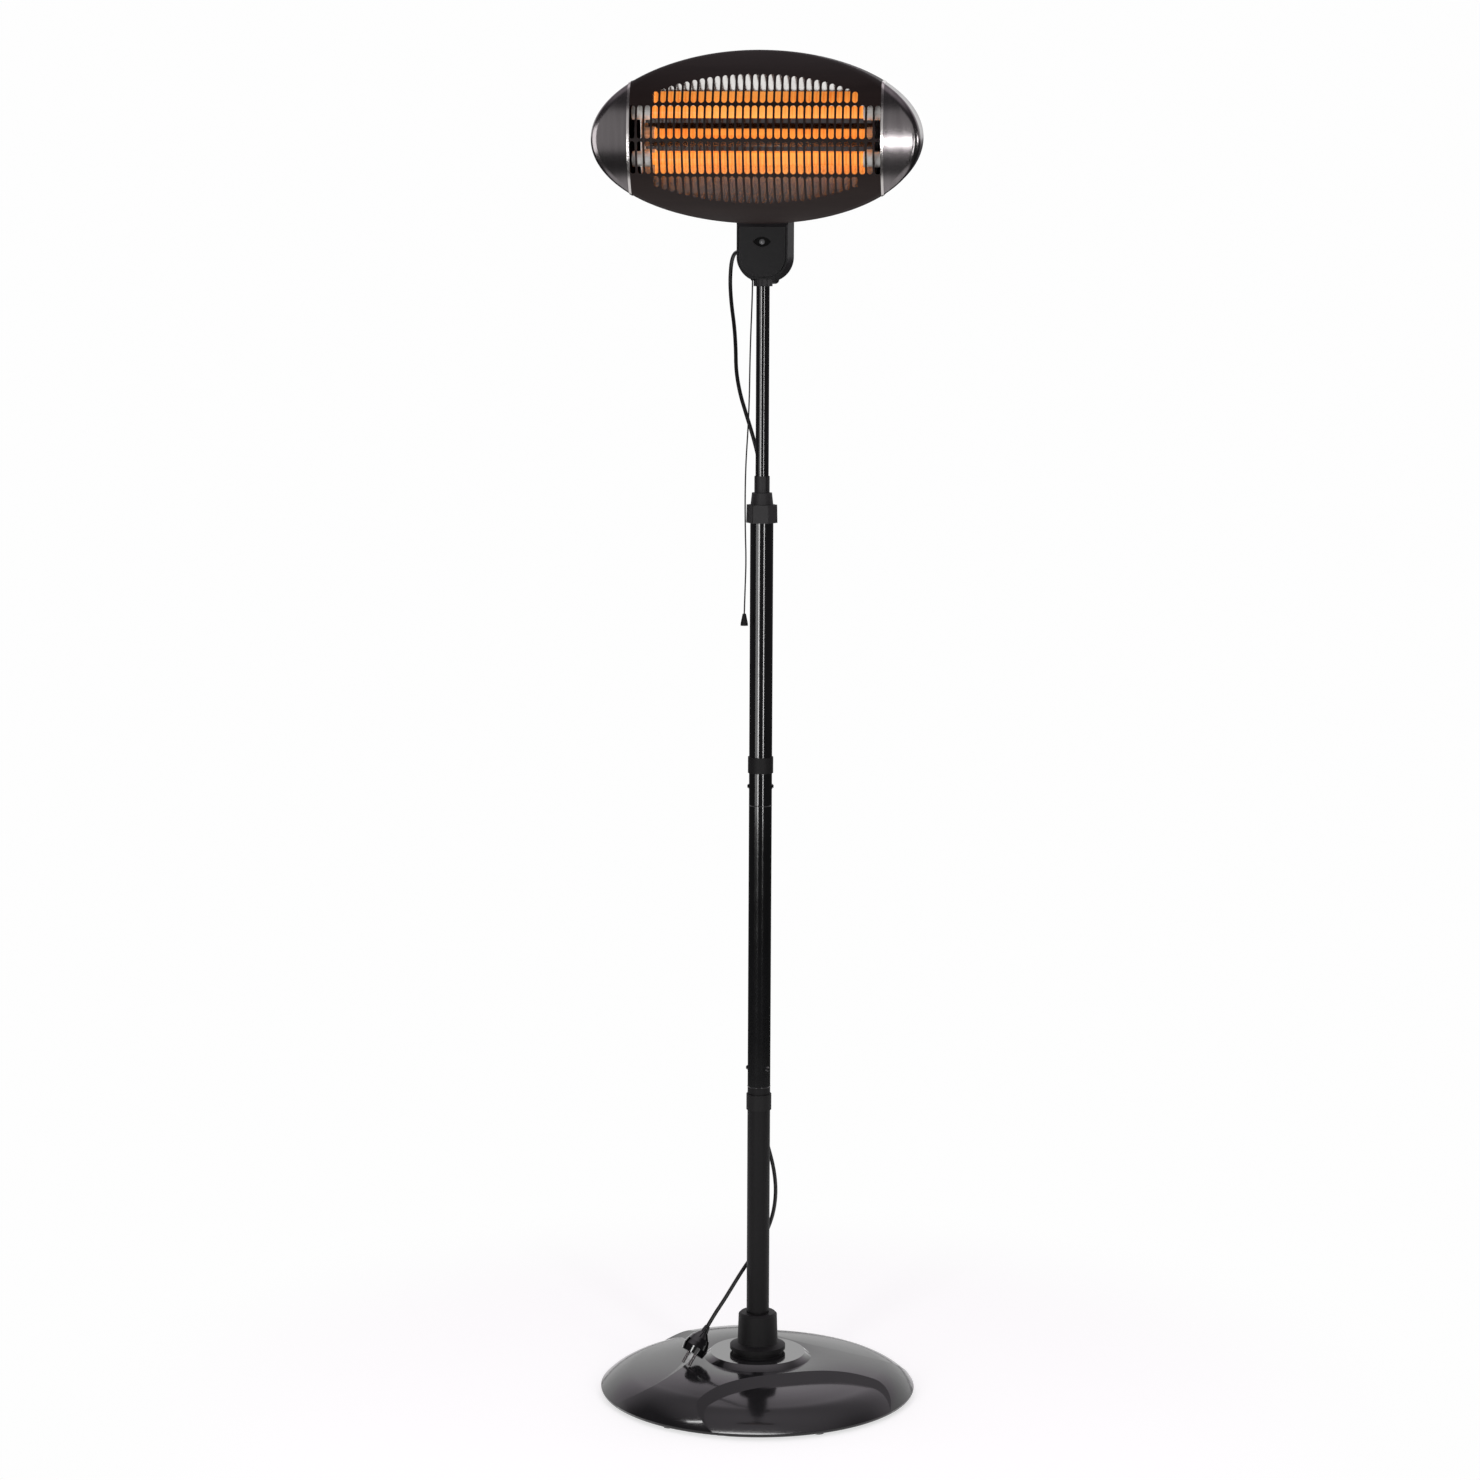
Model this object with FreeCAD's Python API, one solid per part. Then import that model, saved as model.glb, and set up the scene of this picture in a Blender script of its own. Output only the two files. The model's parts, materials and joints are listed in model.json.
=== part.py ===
import FreeCAD, Part
import math
import os

# Electric patio heater: an oval quartz-tube head that tilts on a control box,
# on a telescopic pole that stands in a dished steel base.
# Millimetres, +Z up. The origin is on the ground under the pole's axis, and the head faces -Y.

# Clearances
overrun = 6.0            # how far every cutting body passes the face that it cuts
sliding_gap = 0.08       # radial, shaft or tube that slides or turns in its bore
fixed_gap = 0.05         # radial, pieces that are pushed or screwed together
moving_gap = 0.5         # between pieces that pass each other
lead_gap = 0.3           # between the moving and the clipped stretch of the mains lead

# Base
foot_pad_thickness = 3.0
foot_pad_radius = 9.0
foot_pad_inset = 18.0
foot_pad_count = 6
dish_radius = 244.0
dish_height = 59.0
dish_sheet = 1.2
dish_rim_roll = 6.0
dish_lip_width = 44.0
plateau_radius = 73.5
shoulder_width = 10.0
shoulder_drop = 8.0
dome_reach_shares = (0.0, 0.30, 0.67, 0.87, 1.0)
dome_drop_shares = (0.0, 0.02, 0.22, 0.52, 1.0)
valley_depth = 12.0
valley_depth_shares = (1.0, 0.95, 0.75, 0.52, 0.08)
valley_rim_excess = 1.0
scoop_count = 3
scoop_first_angle = -64.0
scoop_reach = 97.0
scoop_radius = 180.0
scoop_tilt = 22.0
scoop_wall_slope = 12.0
scoop_height = 70.0
ballast_bore_radius = 62.0
ballast_lap = 6.0
ballast_gap = 0.3

# Foot of the pole
pole_flange_radius = 27.0
pole_flange_thickness = 4.0
pole_plug_height = 70.0
foot_bolt_count = 3
foot_bolt_circle_radius = 22.5
foot_bolt_radius = 2.5
foot_bolt_head_radius = 4.2
foot_bolt_head_height = 3.5
foot_nut_height = 4.0
socket_foot_radius = 39.0
socket_foot_height = 5.0
socket_flange_radius = 43.0
socket_flange_thickness = 6.0
socket_flange_slope = 4.0
socket_taper = 1.6
socket_radius = 29.8
socket_wall = 2.3
socket_height = 63.0
socket_cap_thickness = 9.0
socket_edge = 3.0

# Pole
tube_radius = 17.5
tube_wall = 1.5
lower_tube_length = 419.0
middle_tube_length = 439.0
upper_tube_length = 448.0
spigot_length = 90.0
spigot_wall = 1.5
joint_screw_rise = 29.0
joint_screw_radius = 2.0
joint_screw_depth = 5.0
joint_screw_head_radius = 4.0
joint_screw_head_height = 2.6
lower_screw_angles = (186.0, -38.0)
upper_screw_angles = (186.0, 6.0)
ring_wall = 1.8
ring_height = 24.5
lower_ring_below_joint = 12.0
upper_ring_above_joint = 50.0
clip_web = 1.2
clip_wall = 1.7
clip_mouth_share = 0.8

# Telescopic clamp
clamp_sleeve_depth = 40.0
clamp_ferrule_wall = 1.8
clamp_ferrule_depth = 14.0
clamp_cap_thickness = 3.0
clamp_collar_radius = 11.6
clamp_collar_rise = 54.0
clamp_slot_width = 1.6
clamp_slot_depth = 22.0
clamp_slot_count = 4
nut_skirt_overlap = 16.4
nut_skirt_height = 27.4
nut_corner_radius = 24.2
nut_skirt_taper = 0.6
nut_side_count = 6
nut_cone_height = 18.0
nut_cone_low_radius = 17.2
nut_cone_high_radius = 15.2

# Mast
inner_tube_radius = 10.0
inner_tube_wall = 1.2
inner_tube_show = 284.0
inner_tube_in_box = 62.0
guide_bush_height = 24.0
guide_bush_floor = 3.0
neck_height = 13.0
neck_radius = 14.2
neck_rib_count = 12
neck_groove_radius = 1.1

# Control box
box_front_y = -20.0
box_plate_thickness = 3.0
box_plate_half_width = 36.0
box_plate_draft = 1.2
box_step = 2.2
box_flare = 5.0
box_depth = 50.0
box_height = 84.0
box_corner_radius = 30.0
box_wall = 2.4
box_split_y = 6.0
box_top_chamfer = 9.0
box_screw_radius = 1.6
box_screw_head_radius = 3.2
box_screw_head_height = 2.0
box_screw_inset = 9.0
box_screw_low_rise = 23.0
box_screw_length = 16.0
rear_boss_x = 9.0
rear_boss_y = 26.0
rear_boss_radius = 12.6
rear_boss_drop = 10.0
rear_boss_rise = 60.0
rear_boss_round = 6.0
eye_half_width = 13.5
eye_half_height = 7.5
eye_depth = 2.2
eye_rise = 53.0
lens_radius = 4.2
lens_dome = 2.6
lens_stem_length = 6.0
lens_stem_radius = 3.2
eyelet_x = -14.5
eyelet_y = -12.0
eyelet_radius = 3.4
eyelet_bore = 1.4
eyelet_length = 8.0
eyelet_show = 4.5
switch_width = 16.0
switch_side_gap = 1.0
switch_depth = 18.0
switch_height = 26.0
switch_rise = 16.0
terminal_width = 26.0
terminal_depth = 12.0
terminal_height = 14.0
terminal_rise = 54.0
tip_switch_radius = 6.5
tip_switch_height = 18.0
tip_switch_x = 23.0
tip_switch_rise = 42.0
gland_x = -26.0
gland_rise = 38.0
gland_turn = 30.0
gland_flange_radius = 8.0
gland_flange_thickness = 3.0
gland_length = 26.0
gland_root_radius = 6.2
gland_tip_radius = 4.4

# Tilt hinge
hinge_y = 10.0
hinge_rise = 26.0
lug_half_width = 18.0
lug_radius = 13.0
lug_foot_half_depth = 15.0
tilt_bolt_radius = 4.0
tilt_bolt_head_radius = 7.5
tilt_bolt_head_thickness = 5.0
washer_thickness = 1.5
washer_radius = 8.5
bracket_sheet = 2.0
bracket_ear_radius = 11.0
bracket_plate_low = 80.0
bracket_plate_high = 40.0
bracket_screw_radius = 2.0
bracket_screw_head_radius = 4.0
bracket_screw_head_height = 2.4
knob_radius = 18.0
knob_thickness = 14.0
knob_lobe_count = 6
knob_lobe_cut_radius = 5.5
knob_hub_radius = 10.0
knob_hub_height = 4.0

# Head, drawn upright about the middle of its rim and tilted into place
head_tilt = 4.5
head_half_width = 241.5
head_half_height = 126.5
head_front_depth = 76.0
head_front_radius = 150.0
head_edge_round = 12.0
head_sheet = 1.0
hinge_below_middle = 101.0
hinge_behind_rim = 61.2
end_cap_width = 56.0
seam_trim_half_width = 1.8
seam_trim_proud = 1.0
rear_depth = 38.0
rear_taper_shares = (0.0, 0.74, 1.0)
rear_depth_shares = (0.0, 0.82, 1.0)
rear_taper = 42.0
rear_lip_depth = 6.0
vent_row_heights = (18.0, 44.0)
vent_count = 9
vent_pitch = 24.0
vent_half_width = 2.5
vent_half_height = 10.0

# Punched grille
slot_pitch = 11.2
slot_width = 8.0
slot_bar = 3.6
slot_row_height = 51.2
grille_side_margin = 5.0
grille_edge_margin = 33.0
grille_field_margin = 27.0
slot_least_length = 12.0

# Heating elements and reflector
element_half_spacing = 34.0
element_rise = 4.0
element_forward = 32.0
quartz_radius = 8.8
quartz_wall = 1.4
quartz_inset = 7.0
coil_radius = 5.5
ceramic_radius = 11.5
ceramic_length = 28.0
ceramic_socket_depth = 8.0
holder_inset = 14.5
holder_sheet = 1.2
holder_front = 34.0
holder_front_half_height = 74.0
holder_waist_half_height = 60.0
holder_waist_back = 6.0
holder_foot_half_height = 36.0
holder_tab_width = 14.0
reflector_sheet = 0.6
reflector_margin = 6.0
reflector_lip_margin = 28.5
reflector_lip_forward = 33.0
reflector_floor_forward = 10.0
reflector_floor_low = 17.0
reflector_floor_high = 42.0
reflector_ridge_forward = 24.0
head_screw_height = 22.0
head_screw_radius = 2.0
head_screw_head_radius = 4.0
head_screw_head_height = 2.2
head_screw_length = 8.0

# Cords and plug
cord_radius = 3.0
pull_cord_radius = 1.1
pull_knob_height = 18.0
pull_knob_top_radius = 2.6
pull_knob_radius = 5.6
pull_knob_lip = 3.0
plug_axis_shares = (0.46, 0.36, 0.81)
plug_tip_distance = 82.8
plug_tip_angle = 206.5
plug_tip_rise = 48.0
plug_face_radius = 18.0
plug_belly_radius = 20.0
plug_belly_height = 11.0
plug_rim_height = 19.0
plug_shoulder_radius = 15.0
plug_shoulder_height = 27.0
plug_neck_radius = 8.0
plug_neck_height = 36.0
plug_relief_root_radius = 6.4
plug_relief_tip_radius = 4.2
plug_length = 48.0
plug_notch_width = 6.0
plug_notch_depth = 3.0
plug_pin_radius = 2.4
plug_pin_length = 19.0
plug_pin_half_spacing = 9.5
arc_share = 0.45
straight_turn = 0.9      # degrees, a corner that turns less stays a straight run
cord_swing = 100.0
upper_cord_shares = (
    (-0.49, 0.70, 0.9993), (-0.56, 0.85, 0.987), (-0.60, 0.97, 0.965), (-0.61, 1.00, 0.931),
    (-0.58, 0.94, 0.892), (-0.525, 0.84, 0.852), (-0.49, 0.74, 0.809), (-0.475, 0.65, 0.7645),
    (-0.405, 0.56, 0.720), (-0.30, 0.48, 0.680), (-0.19, 0.42, 0.638), (-0.095, 0.37, 0.594),
    (-0.03, 0.34, 0.542), (0.005, 0.325, 0.485), (0.025, 0.32, 0.422), (0.035, 0.31, 0.355),
    (0.025, 0.29, 0.284), (0.005, 0.275, 0.214), (-0.015, 0.26, 0.147), (-0.01, 0.245, 0.086))
lower_cord_shares = (
    (0.06, 0.24, 0.865), (0.145, 0.245, 0.785), (0.22, 0.255, 0.692), (0.25, 0.26, 0.595),
    (0.215, 0.265, 0.497), (0.12, 0.272, 0.411), (-0.01, 0.265, 0.336), (-0.15, 0.19, 0.272),
    (-0.28, 0.05, 0.217), (-0.40, -0.085, 0.160), (-0.525, -0.185, 0.1003), (-0.64, -0.29, 0.0513))
pull_swing = 10.0
pull_cord_drop = 504.0
pull_cord_shares = (
    (0.0, 0.0, 0.024), (-0.05, -0.35, 0.088), (-0.15, -0.8, 0.167), (-0.25, -0.9, 0.257),
    (-0.3, -0.9, 0.355), (-0.5, -0.85, 0.452), (-0.8, -0.8, 0.548), (-0.9, -0.75, 0.645),
    (-0.85, -0.75, 0.745), (-0.7, -0.7, 0.841), (-0.85, -0.65, 0.928), (-0.95, -0.65, 1.0))

# Heights that follow from the sizes above
dish_base = foot_pad_thickness
dish_top = dish_base + dish_height
lower_tube_base = dish_top + pole_flange_thickness
lower_joint = lower_tube_base + lower_tube_length
upper_joint = lower_joint + middle_tube_length
tube_top = upper_joint + upper_tube_length
clamp_top = tube_top + clamp_collar_rise
neck_base = clamp_top + inner_tube_show
box_base = neck_base + neck_height
box_top = box_base + box_height
hinge_z = box_top + hinge_rise
tube_bore = tube_radius - tube_wall
lower_ring_base = lower_joint - lower_ring_below_joint - ring_height
upper_ring_base = upper_joint + upper_ring_above_joint
clip_y = tube_radius + ring_wall + clip_web + cord_radius
box_back_y = box_front_y + box_depth
gland_z = box_base + gland_rise

seam_x = head_half_width - end_cap_width
holder_x = seam_x - holder_inset
quartz_half_length = holder_x - quartz_inset
grille_half_width = seam_x - grille_side_margin
grille_half_height = head_half_height - grille_edge_margin
grille_field_half_width = head_half_width - grille_field_margin
reflector_lip_height = head_half_height - reflector_lip_margin

# Routes of the cords, chosen by hand from the photograph
gland_tip = (gland_x - gland_length * math.sin(math.radians(gland_turn)),
             box_back_y + gland_length * math.cos(math.radians(gland_turn)), gland_z)
ring_top = upper_ring_base + ring_height
plug_tip = (plug_tip_distance * math.cos(math.radians(plug_tip_angle)),
            plug_tip_distance * math.sin(math.radians(plug_tip_angle)), dish_top + plug_tip_rise)
upper_cord_points = [gland_tip]
upper_cord_points += [(x * cord_swing, y * cord_swing, ring_top + rise * (gland_z - ring_top))
                      for x, y, rise in upper_cord_shares]
upper_cord_points += [(0.0, clip_y, ring_top + ring_height), (0.0, clip_y, ring_top + lead_gap)]
lower_cord_points = [(0.0, clip_y, lower_ring_base), (0.0, clip_y, lower_ring_base - ring_height)]
lower_cord_points += [(x * cord_swing, y * cord_swing, plug_tip[2] + rise * (lower_ring_base - plug_tip[2]))
                      for x, y, rise in lower_cord_shares]
lower_cord_points += [plug_tip]
pull_cord_points = [(eyelet_x, eyelet_y, box_base + switch_rise - moving_gap)]
pull_cord_points += [(eyelet_x + x * pull_swing, eyelet_y + y * pull_swing,
                      box_base - fall * pull_cord_drop) for x, y, fall in pull_cord_shares]

AXIS_X = FreeCAD.Vector(1, 0, 0)
AXIS_Y = FreeCAD.Vector(0, 1, 0)
AXIS_Z = FreeCAD.Vector(0, 0, 1)
ORIGIN = FreeCAD.Vector(0, 0, 0)
FULL_TURN = 360.0


def at(x, y, z):
    return FreeCAD.Vector(x, y, z)


def drum(radius, low, high, x=0.0, y=0.0):
    """Upright cylinder between two heights."""
    return Part.makeCylinder(radius, high - low, at(x, y, low), AXIS_Z)


def sleeve(outer, inner, low, high):
    return drum(outer, low, high).cut(drum(inner, low - overrun, high + overrun))


def rod(radius, start, direction, length):
    return Part.makeCylinder(radius, length, start, direction)


def block(low, high):
    """Box between two corners."""
    size = [high[i] - low[i] for i in range(3)]
    return Part.makeBox(size[0], size[1], size[2], at(*low))


def turned(outline):
    """Solid of revolution about Z from (radius, height) points."""
    points = [at(r, 0, z) for r, z in outline]
    face = Part.Face(Part.makePolygon(points + points[:1]))
    return face.revolve(ORIGIN, AXIS_Z, FULL_TURN)


def plate_yz(outline, x_low, x_high):
    """Plate in the YZ plane from (y, z) points."""
    points = [at(x_low, y, z) for y, z in outline]
    face = Part.Face(Part.makePolygon(points + points[:1]))
    return face.extrude(at(x_high - x_low, 0, 0))


def polar(radius, degrees):
    angle = math.radians(degrees)
    return radius * math.cos(angle), radius * math.sin(angle)


def spread(shape, count, first=0.0):
    """Copies of a shape, evenly spaced round the Z axis."""
    copies = []
    for i in range(count):
        copy = shape.copy()
        copy.rotate(ORIGIN, AXIS_Z, first + i * FULL_TURN / count)
        copies.append(copy)
    return copies


def group(shapes):
    return Part.makeCompound(shapes)


def save(node, shape):
    shape.exportStep(os.path.join("parts", node + ".step"))


def dome_solid(inset, depth, excess):
    """Solid under the dish's surface, or with a depth under the floor of its valleys."""
    base = dish_base + inset
    rim = dish_radius - inset + excess
    roll = dish_rim_roll - inset
    foot_radius = plateau_radius + shoulder_width
    foot_height = dish_top - shoulder_drop - inset
    rim_height = base + roll
    points = []
    for reach, drop, sink in zip(dome_reach_shares, dome_drop_shares, valley_depth_shares):
        radius = foot_radius + reach * (rim - foot_radius)
        height = foot_height - drop * (foot_height - rim_height) - sink * depth
        points.append(at(radius, 0, height))
    roll = points[-1].z - base
    bend = roll * math.sqrt(0.5)
    roll_middle = at(rim - roll + bend, 0, points[-1].z - bend)
    top = [points[0], at(plateau_radius, 0, dish_top - inset), at(0, 0, dish_top - inset)]
    if depth:
        top = [points[0], at(0, 0, points[0].z)]
    bottom = [at(0, 0, base), at(rim - roll, 0, base)]
    edges = [Part.Arc(points[0], points[1], points[2]).toShape(),
             Part.Arc(points[2], points[3], points[4]).toShape(),
             Part.Arc(points[4], roll_middle, bottom[1]).toShape(),
             Part.makeLine(bottom[1], bottom[0]),
             Part.makeLine(bottom[0], top[-1])]
    edges += [Part.makeLine(a, b) for a, b in zip(top[1:], top)]
    face = Part.Face(Part.Wire(Part.__sortEdges__(edges)))
    return face.revolve(ORIGIN, AXIS_Z, FULL_TURN)


def scoops(inset):
    """Three tilted flat cones whose walls make the crescent steps of the dish."""
    rise = math.tan(math.radians(scoop_wall_slope))
    sink = scoop_radius * rise
    top_radius = scoop_radius + scoop_height / rise
    cone = Part.makeCone(0, top_radius, sink + scoop_height, at(0, 0, -sink - inset), AXIS_Z)
    cone.rotate(ORIGIN, AXIS_Y, scoop_tilt)
    tilt = math.radians(scoop_tilt)
    cone.translate(at(scoop_reach + scoop_radius * math.cos(tilt), 0,
                      dish_top - shoulder_drop - scoop_radius * math.sin(tilt)))
    floor = dome_solid(inset, valley_depth, valley_rim_excess)
    return [cutter.cut(floor) for cutter in spread(cone, scoop_count, scoop_first_angle)]


def dish_form(inset):
    return dome_solid(inset, 0.0, 0.0).cut(scoops(inset))


def foot_bolt_holes(radius):
    hole = drum(radius, dish_base, lower_tube_base + overrun, foot_bolt_circle_radius)
    return spread(hole, foot_bolt_count)


def base_dish():
    opening = drum(dish_radius - dish_lip_width, dish_base - overrun, dish_base + dish_sheet + overrun)
    shell = dish_form(0.0).cut([dish_form(dish_sheet), opening])
    return shell.cut(foot_bolt_holes(foot_bolt_radius + fixed_gap))


def base_ballast():
    radius = dish_radius - dish_lip_width + ballast_lap
    inset = dish_sheet + ballast_gap
    ring = sleeve(radius, ballast_bore_radius, dish_base + dish_sheet, dish_top)
    valley_floor = dome_solid(inset, valley_depth, valley_rim_excess)
    return ring.common(dome_solid(inset, 0.0, 0.0)).common(valley_floor)


def base_feet():
    pad = drum(foot_pad_radius, 0.0, foot_pad_thickness, dish_radius - foot_pad_inset)
    return group(spread(pad, foot_pad_count))


def pole_foot():
    flange = drum(pole_flange_radius, dish_top, lower_tube_base)
    plug = drum(tube_bore - fixed_gap, lower_tube_base, lower_tube_base + pole_plug_height)
    return flange.fuse(plug).cut(foot_bolt_holes(foot_bolt_radius + fixed_gap))


def foot_bolts():
    low = dish_top - dish_sheet - foot_nut_height
    high = lower_tube_base + foot_bolt_head_height
    x = foot_bolt_circle_radius
    shank = drum(foot_bolt_radius, low, lower_tube_base, x)
    head = drum(foot_bolt_head_radius, lower_tube_base, high, x)
    nut = drum(foot_bolt_head_radius, low, low + foot_nut_height, x)
    return group(spread(shank.fuse([head, nut]), foot_bolt_count))


def base_socket():
    flange_low = dish_top + socket_foot_height
    flange_top = flange_low + socket_flange_thickness
    top = dish_top + socket_height
    cavity = socket_radius - socket_wall
    bore = tube_radius + fixed_gap
    outline = [(cavity, dish_top), (socket_foot_radius, dish_top), (socket_foot_radius, flange_low),
               (socket_flange_radius, flange_low), (socket_flange_radius, flange_top),
               (socket_radius + socket_taper, flange_top + socket_flange_slope),
               (socket_radius, top - socket_edge), (socket_radius - socket_edge, top), (bore, top),
               (bore, top - socket_cap_thickness), (cavity, top - socket_cap_thickness)]
    return turned(outline)


def radial_holes(angles, height, radius):
    """Screw holes through the wall on the given sides of the pole."""
    holes = []
    for angle in angles:
        x, y = polar(1.0, angle)
        holes.append(rod(radius, at(0, 0, height), at(x, y, 0), tube_radius + overrun))
    return holes


def pole_tube(low, length, screw_angles, screw_height):
    tube = sleeve(tube_radius, tube_bore, low, low + length)
    if screw_angles:
        tube = tube.cut(radial_holes(screw_angles, screw_height, joint_screw_radius + fixed_gap))
    return tube


def spigot(joint, screw_angles):
    outer = tube_bore - fixed_gap
    tube = sleeve(outer, outer - spigot_wall, joint - spigot_length / 2, joint + spigot_length / 2)
    return tube.cut(radial_holes(screw_angles, joint + joint_screw_rise, joint_screw_radius + fixed_gap))


def joint_screws(joint, screw_angles):
    height = joint + joint_screw_rise
    screws = []
    for angle in screw_angles:
        x, y = polar(1.0, angle)
        out = at(x, y, 0)
        shank = rod(joint_screw_radius, out * (tube_radius - joint_screw_depth) + at(0, 0, height), out,
                    joint_screw_depth)
        seat = out * tube_radius + at(0, 0, height)
        head = Part.makeCone(joint_screw_head_radius, joint_screw_radius, joint_screw_head_height,
                             seat, out)
        screws.append(shank.fuse(head))
    return group(screws)


def cable_ring(low):
    """Ring round the pole with an open clip for the mains lead at its back."""
    high = low + ring_height
    inner = tube_radius + fixed_gap
    outer = tube_radius + ring_wall
    clip = drum(cord_radius + clip_wall, low, high, 0.0, clip_y)
    ring = drum(outer, low, high).fuse(clip)
    half_mouth = cord_radius * clip_mouth_share
    mouth = block((-half_mouth, clip_y, low - overrun),
                  (half_mouth, clip_y + cord_radius + overrun, high + overrun))
    cord_bore = drum(cord_radius + fixed_gap, low - overrun, high + overrun, 0.0, clip_y)
    return ring.cut([drum(inner, low - overrun, high + overrun), cord_bore, mouth])


def clamp_collet():
    """Slotted collet: a sleeve in the tube, a ferrule over it and fingers round the inner tube."""
    bore = inner_tube_radius + sliding_gap
    outside = tube_radius + clamp_ferrule_wall
    low = tube_top - clamp_sleeve_depth
    cap = tube_top + clamp_cap_thickness
    ferrule_low = tube_top - clamp_ferrule_depth
    outline = [(bore, low), (tube_bore - fixed_gap, low), (tube_bore - fixed_gap, tube_top),
               (tube_radius + fixed_gap, tube_top), (tube_radius + fixed_gap, ferrule_low),
               (outside, ferrule_low), (outside, cap), (clamp_collar_radius, cap),
               (clamp_collar_radius, clamp_top), (bore, clamp_top)]
    body = turned(outline)
    half = clamp_slot_width / 2
    slot = block((0, -half, clamp_top - clamp_slot_depth), (outside, half, clamp_top + overrun))
    return body.cut(spread(slot, clamp_slot_count, FULL_TURN / clamp_slot_count / 2))


def nut_outline(radius, height):
    corners = [polar(radius, i * FULL_TURN / nut_side_count) for i in range(nut_side_count)]
    points = [at(x, y, height) for x, y in corners]
    return Part.makePolygon(points + points[:1])


def clamp_nut():
    """Faceted skirt and cone that squeeze the collet's fingers when they are turned."""
    low = tube_top - nut_skirt_overlap
    skirt_top = low + nut_skirt_height
    top = skirt_top + nut_cone_height
    top_radius = nut_corner_radius - nut_skirt_taper
    outlines = [nut_outline(nut_corner_radius, low), nut_outline(top_radius, skirt_top)]
    skirt = Part.makeLoft(outlines, True, True)
    rounding = Part.makeCone(nut_corner_radius - moving_gap, top_radius - moving_gap, nut_skirt_height,
                             at(0, 0, low), AXIS_Z)
    cone = Part.makeCone(nut_cone_low_radius, nut_cone_high_radius, nut_cone_height,
                         at(0, 0, skirt_top), AXIS_Z)
    cap = tube_top + clamp_cap_thickness + moving_gap
    cavity = drum(tube_radius + clamp_ferrule_wall + moving_gap, low - overrun, cap)
    collar_bore = drum(clamp_collar_radius + moving_gap, cap - overrun, top + overrun)
    return skirt.common(rounding).fuse(cone).cut([cavity, collar_bore])


def inner_tube():
    low = tube_top - clamp_sleeve_depth - guide_bush_height
    return sleeve(inner_tube_radius, inner_tube_radius - inner_tube_wall, low, box_base + inner_tube_in_box)


def guide_bush():
    high = tube_top - clamp_sleeve_depth - moving_gap
    low = high - guide_bush_height
    outer = tube_bore - sliding_gap
    bore = inner_tube_radius + fixed_gap
    inside = inner_tube_radius - inner_tube_wall
    floor = low + moving_gap
    outline = [(0, low - guide_bush_floor), (outer, low - guide_bush_floor), (outer, high), (bore, high),
               (bore, floor), (inside, floor), (0, floor)]
    return turned(outline)


def neck_collar():
    ring = sleeve(neck_radius, inner_tube_radius + fixed_gap, neck_base, box_base)
    groove = drum(neck_groove_radius, neck_base - overrun, box_base - neck_groove_radius, neck_radius)
    return ring.cut(spread(groove, neck_rib_count))


def box_outline(y, grow):
    """Round-bottomed outline of the control box at one depth, grown from the front plate's outline."""
    half = box_plate_half_width + grow
    low = box_base - grow
    corner = box_corner_radius + grow
    bend = corner * (1 - math.sqrt(0.5))
    left_top = at(-half, y, box_top)
    left = at(-half, y, low + corner)
    left_low = at(-half + corner, y, low)
    right_low = at(half - corner, y, low)
    right = at(half, y, low + corner)
    right_top = at(half, y, box_top)
    edges = [Part.makeLine(left_top, left),
             Part.Arc(left, at(-half + bend, y, low + bend), left_low).toShape(),
             Part.makeLine(left_low, right_low),
             Part.Arc(right_low, at(half - bend, y, low + bend), right).toShape(),
             Part.makeLine(right, right_top),
             Part.makeLine(right_top, left_top)]
    return Part.Wire(edges)


def box_loft(front, back, front_grow, back_grow):
    return Part.makeLoft([box_outline(front, front_grow), box_outline(back, back_grow)], True, True)


def box_solid():
    """Raised front plate and the flaring body behind it, bevelled where the head comes close."""
    step_y = box_front_y + box_plate_thickness
    plate = box_loft(box_front_y, step_y, -box_plate_draft, 0.0)
    body = box_loft(step_y, box_back_y, box_step, box_step + box_flare)
    solid = plate.fuse(body)
    bevel = plate_yz([(box_front_y - overrun, box_top - box_top_chamfer - overrun),
                      (box_front_y + box_top_chamfer + overrun, box_top + overrun),
                      (box_front_y - overrun, box_top + overrun)], -box_depth, box_depth)
    return solid.cut(bevel)


def box_cavity():
    front = box_front_y + box_plate_thickness + box_wall
    back = box_back_y - box_wall
    hollow = box_loft(front, back, box_step - box_wall, box_step + box_flare - box_wall)
    roof = block((-box_depth, front - overrun, box_top - box_top_chamfer - box_wall),
                 (box_depth, back + overrun, box_top + overrun))
    return hollow.cut(roof)


def hinge_lug():
    """Rounded lug on top of the box that carries the head's hinge bolt."""
    foot_z = box_top - box_top_chamfer - box_wall
    outline = [(hinge_y - lug_foot_half_depth, foot_z), (hinge_y + lug_foot_half_depth, foot_z),
               (hinge_y + lug_radius, hinge_z), (hinge_y - lug_radius, hinge_z)]
    web = plate_yz(outline, -lug_half_width, lug_half_width)
    top = rod(lug_radius, at(-lug_half_width, hinge_y, hinge_z), AXIS_X, 2 * lug_half_width)
    return web.fuse(top)


def rear_boss():
    low = box_base - rear_boss_drop
    boss = drum(rear_boss_radius, low, low + rear_boss_rise, rear_boss_x, rear_boss_y)
    low_edges = [edge for edge in boss.Edges if edge.BoundBox.ZMax < low + rear_boss_round]
    return boss.makeFillet(rear_boss_round, low_edges)


def box_screw_places():
    high = box_top - box_top_chamfer - box_screw_inset
    low = box_base + box_screw_low_rise
    x = box_plate_half_width - box_screw_inset
    return [(side * x, height) for side in (-1, 1) for height in (low, high)]


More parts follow.
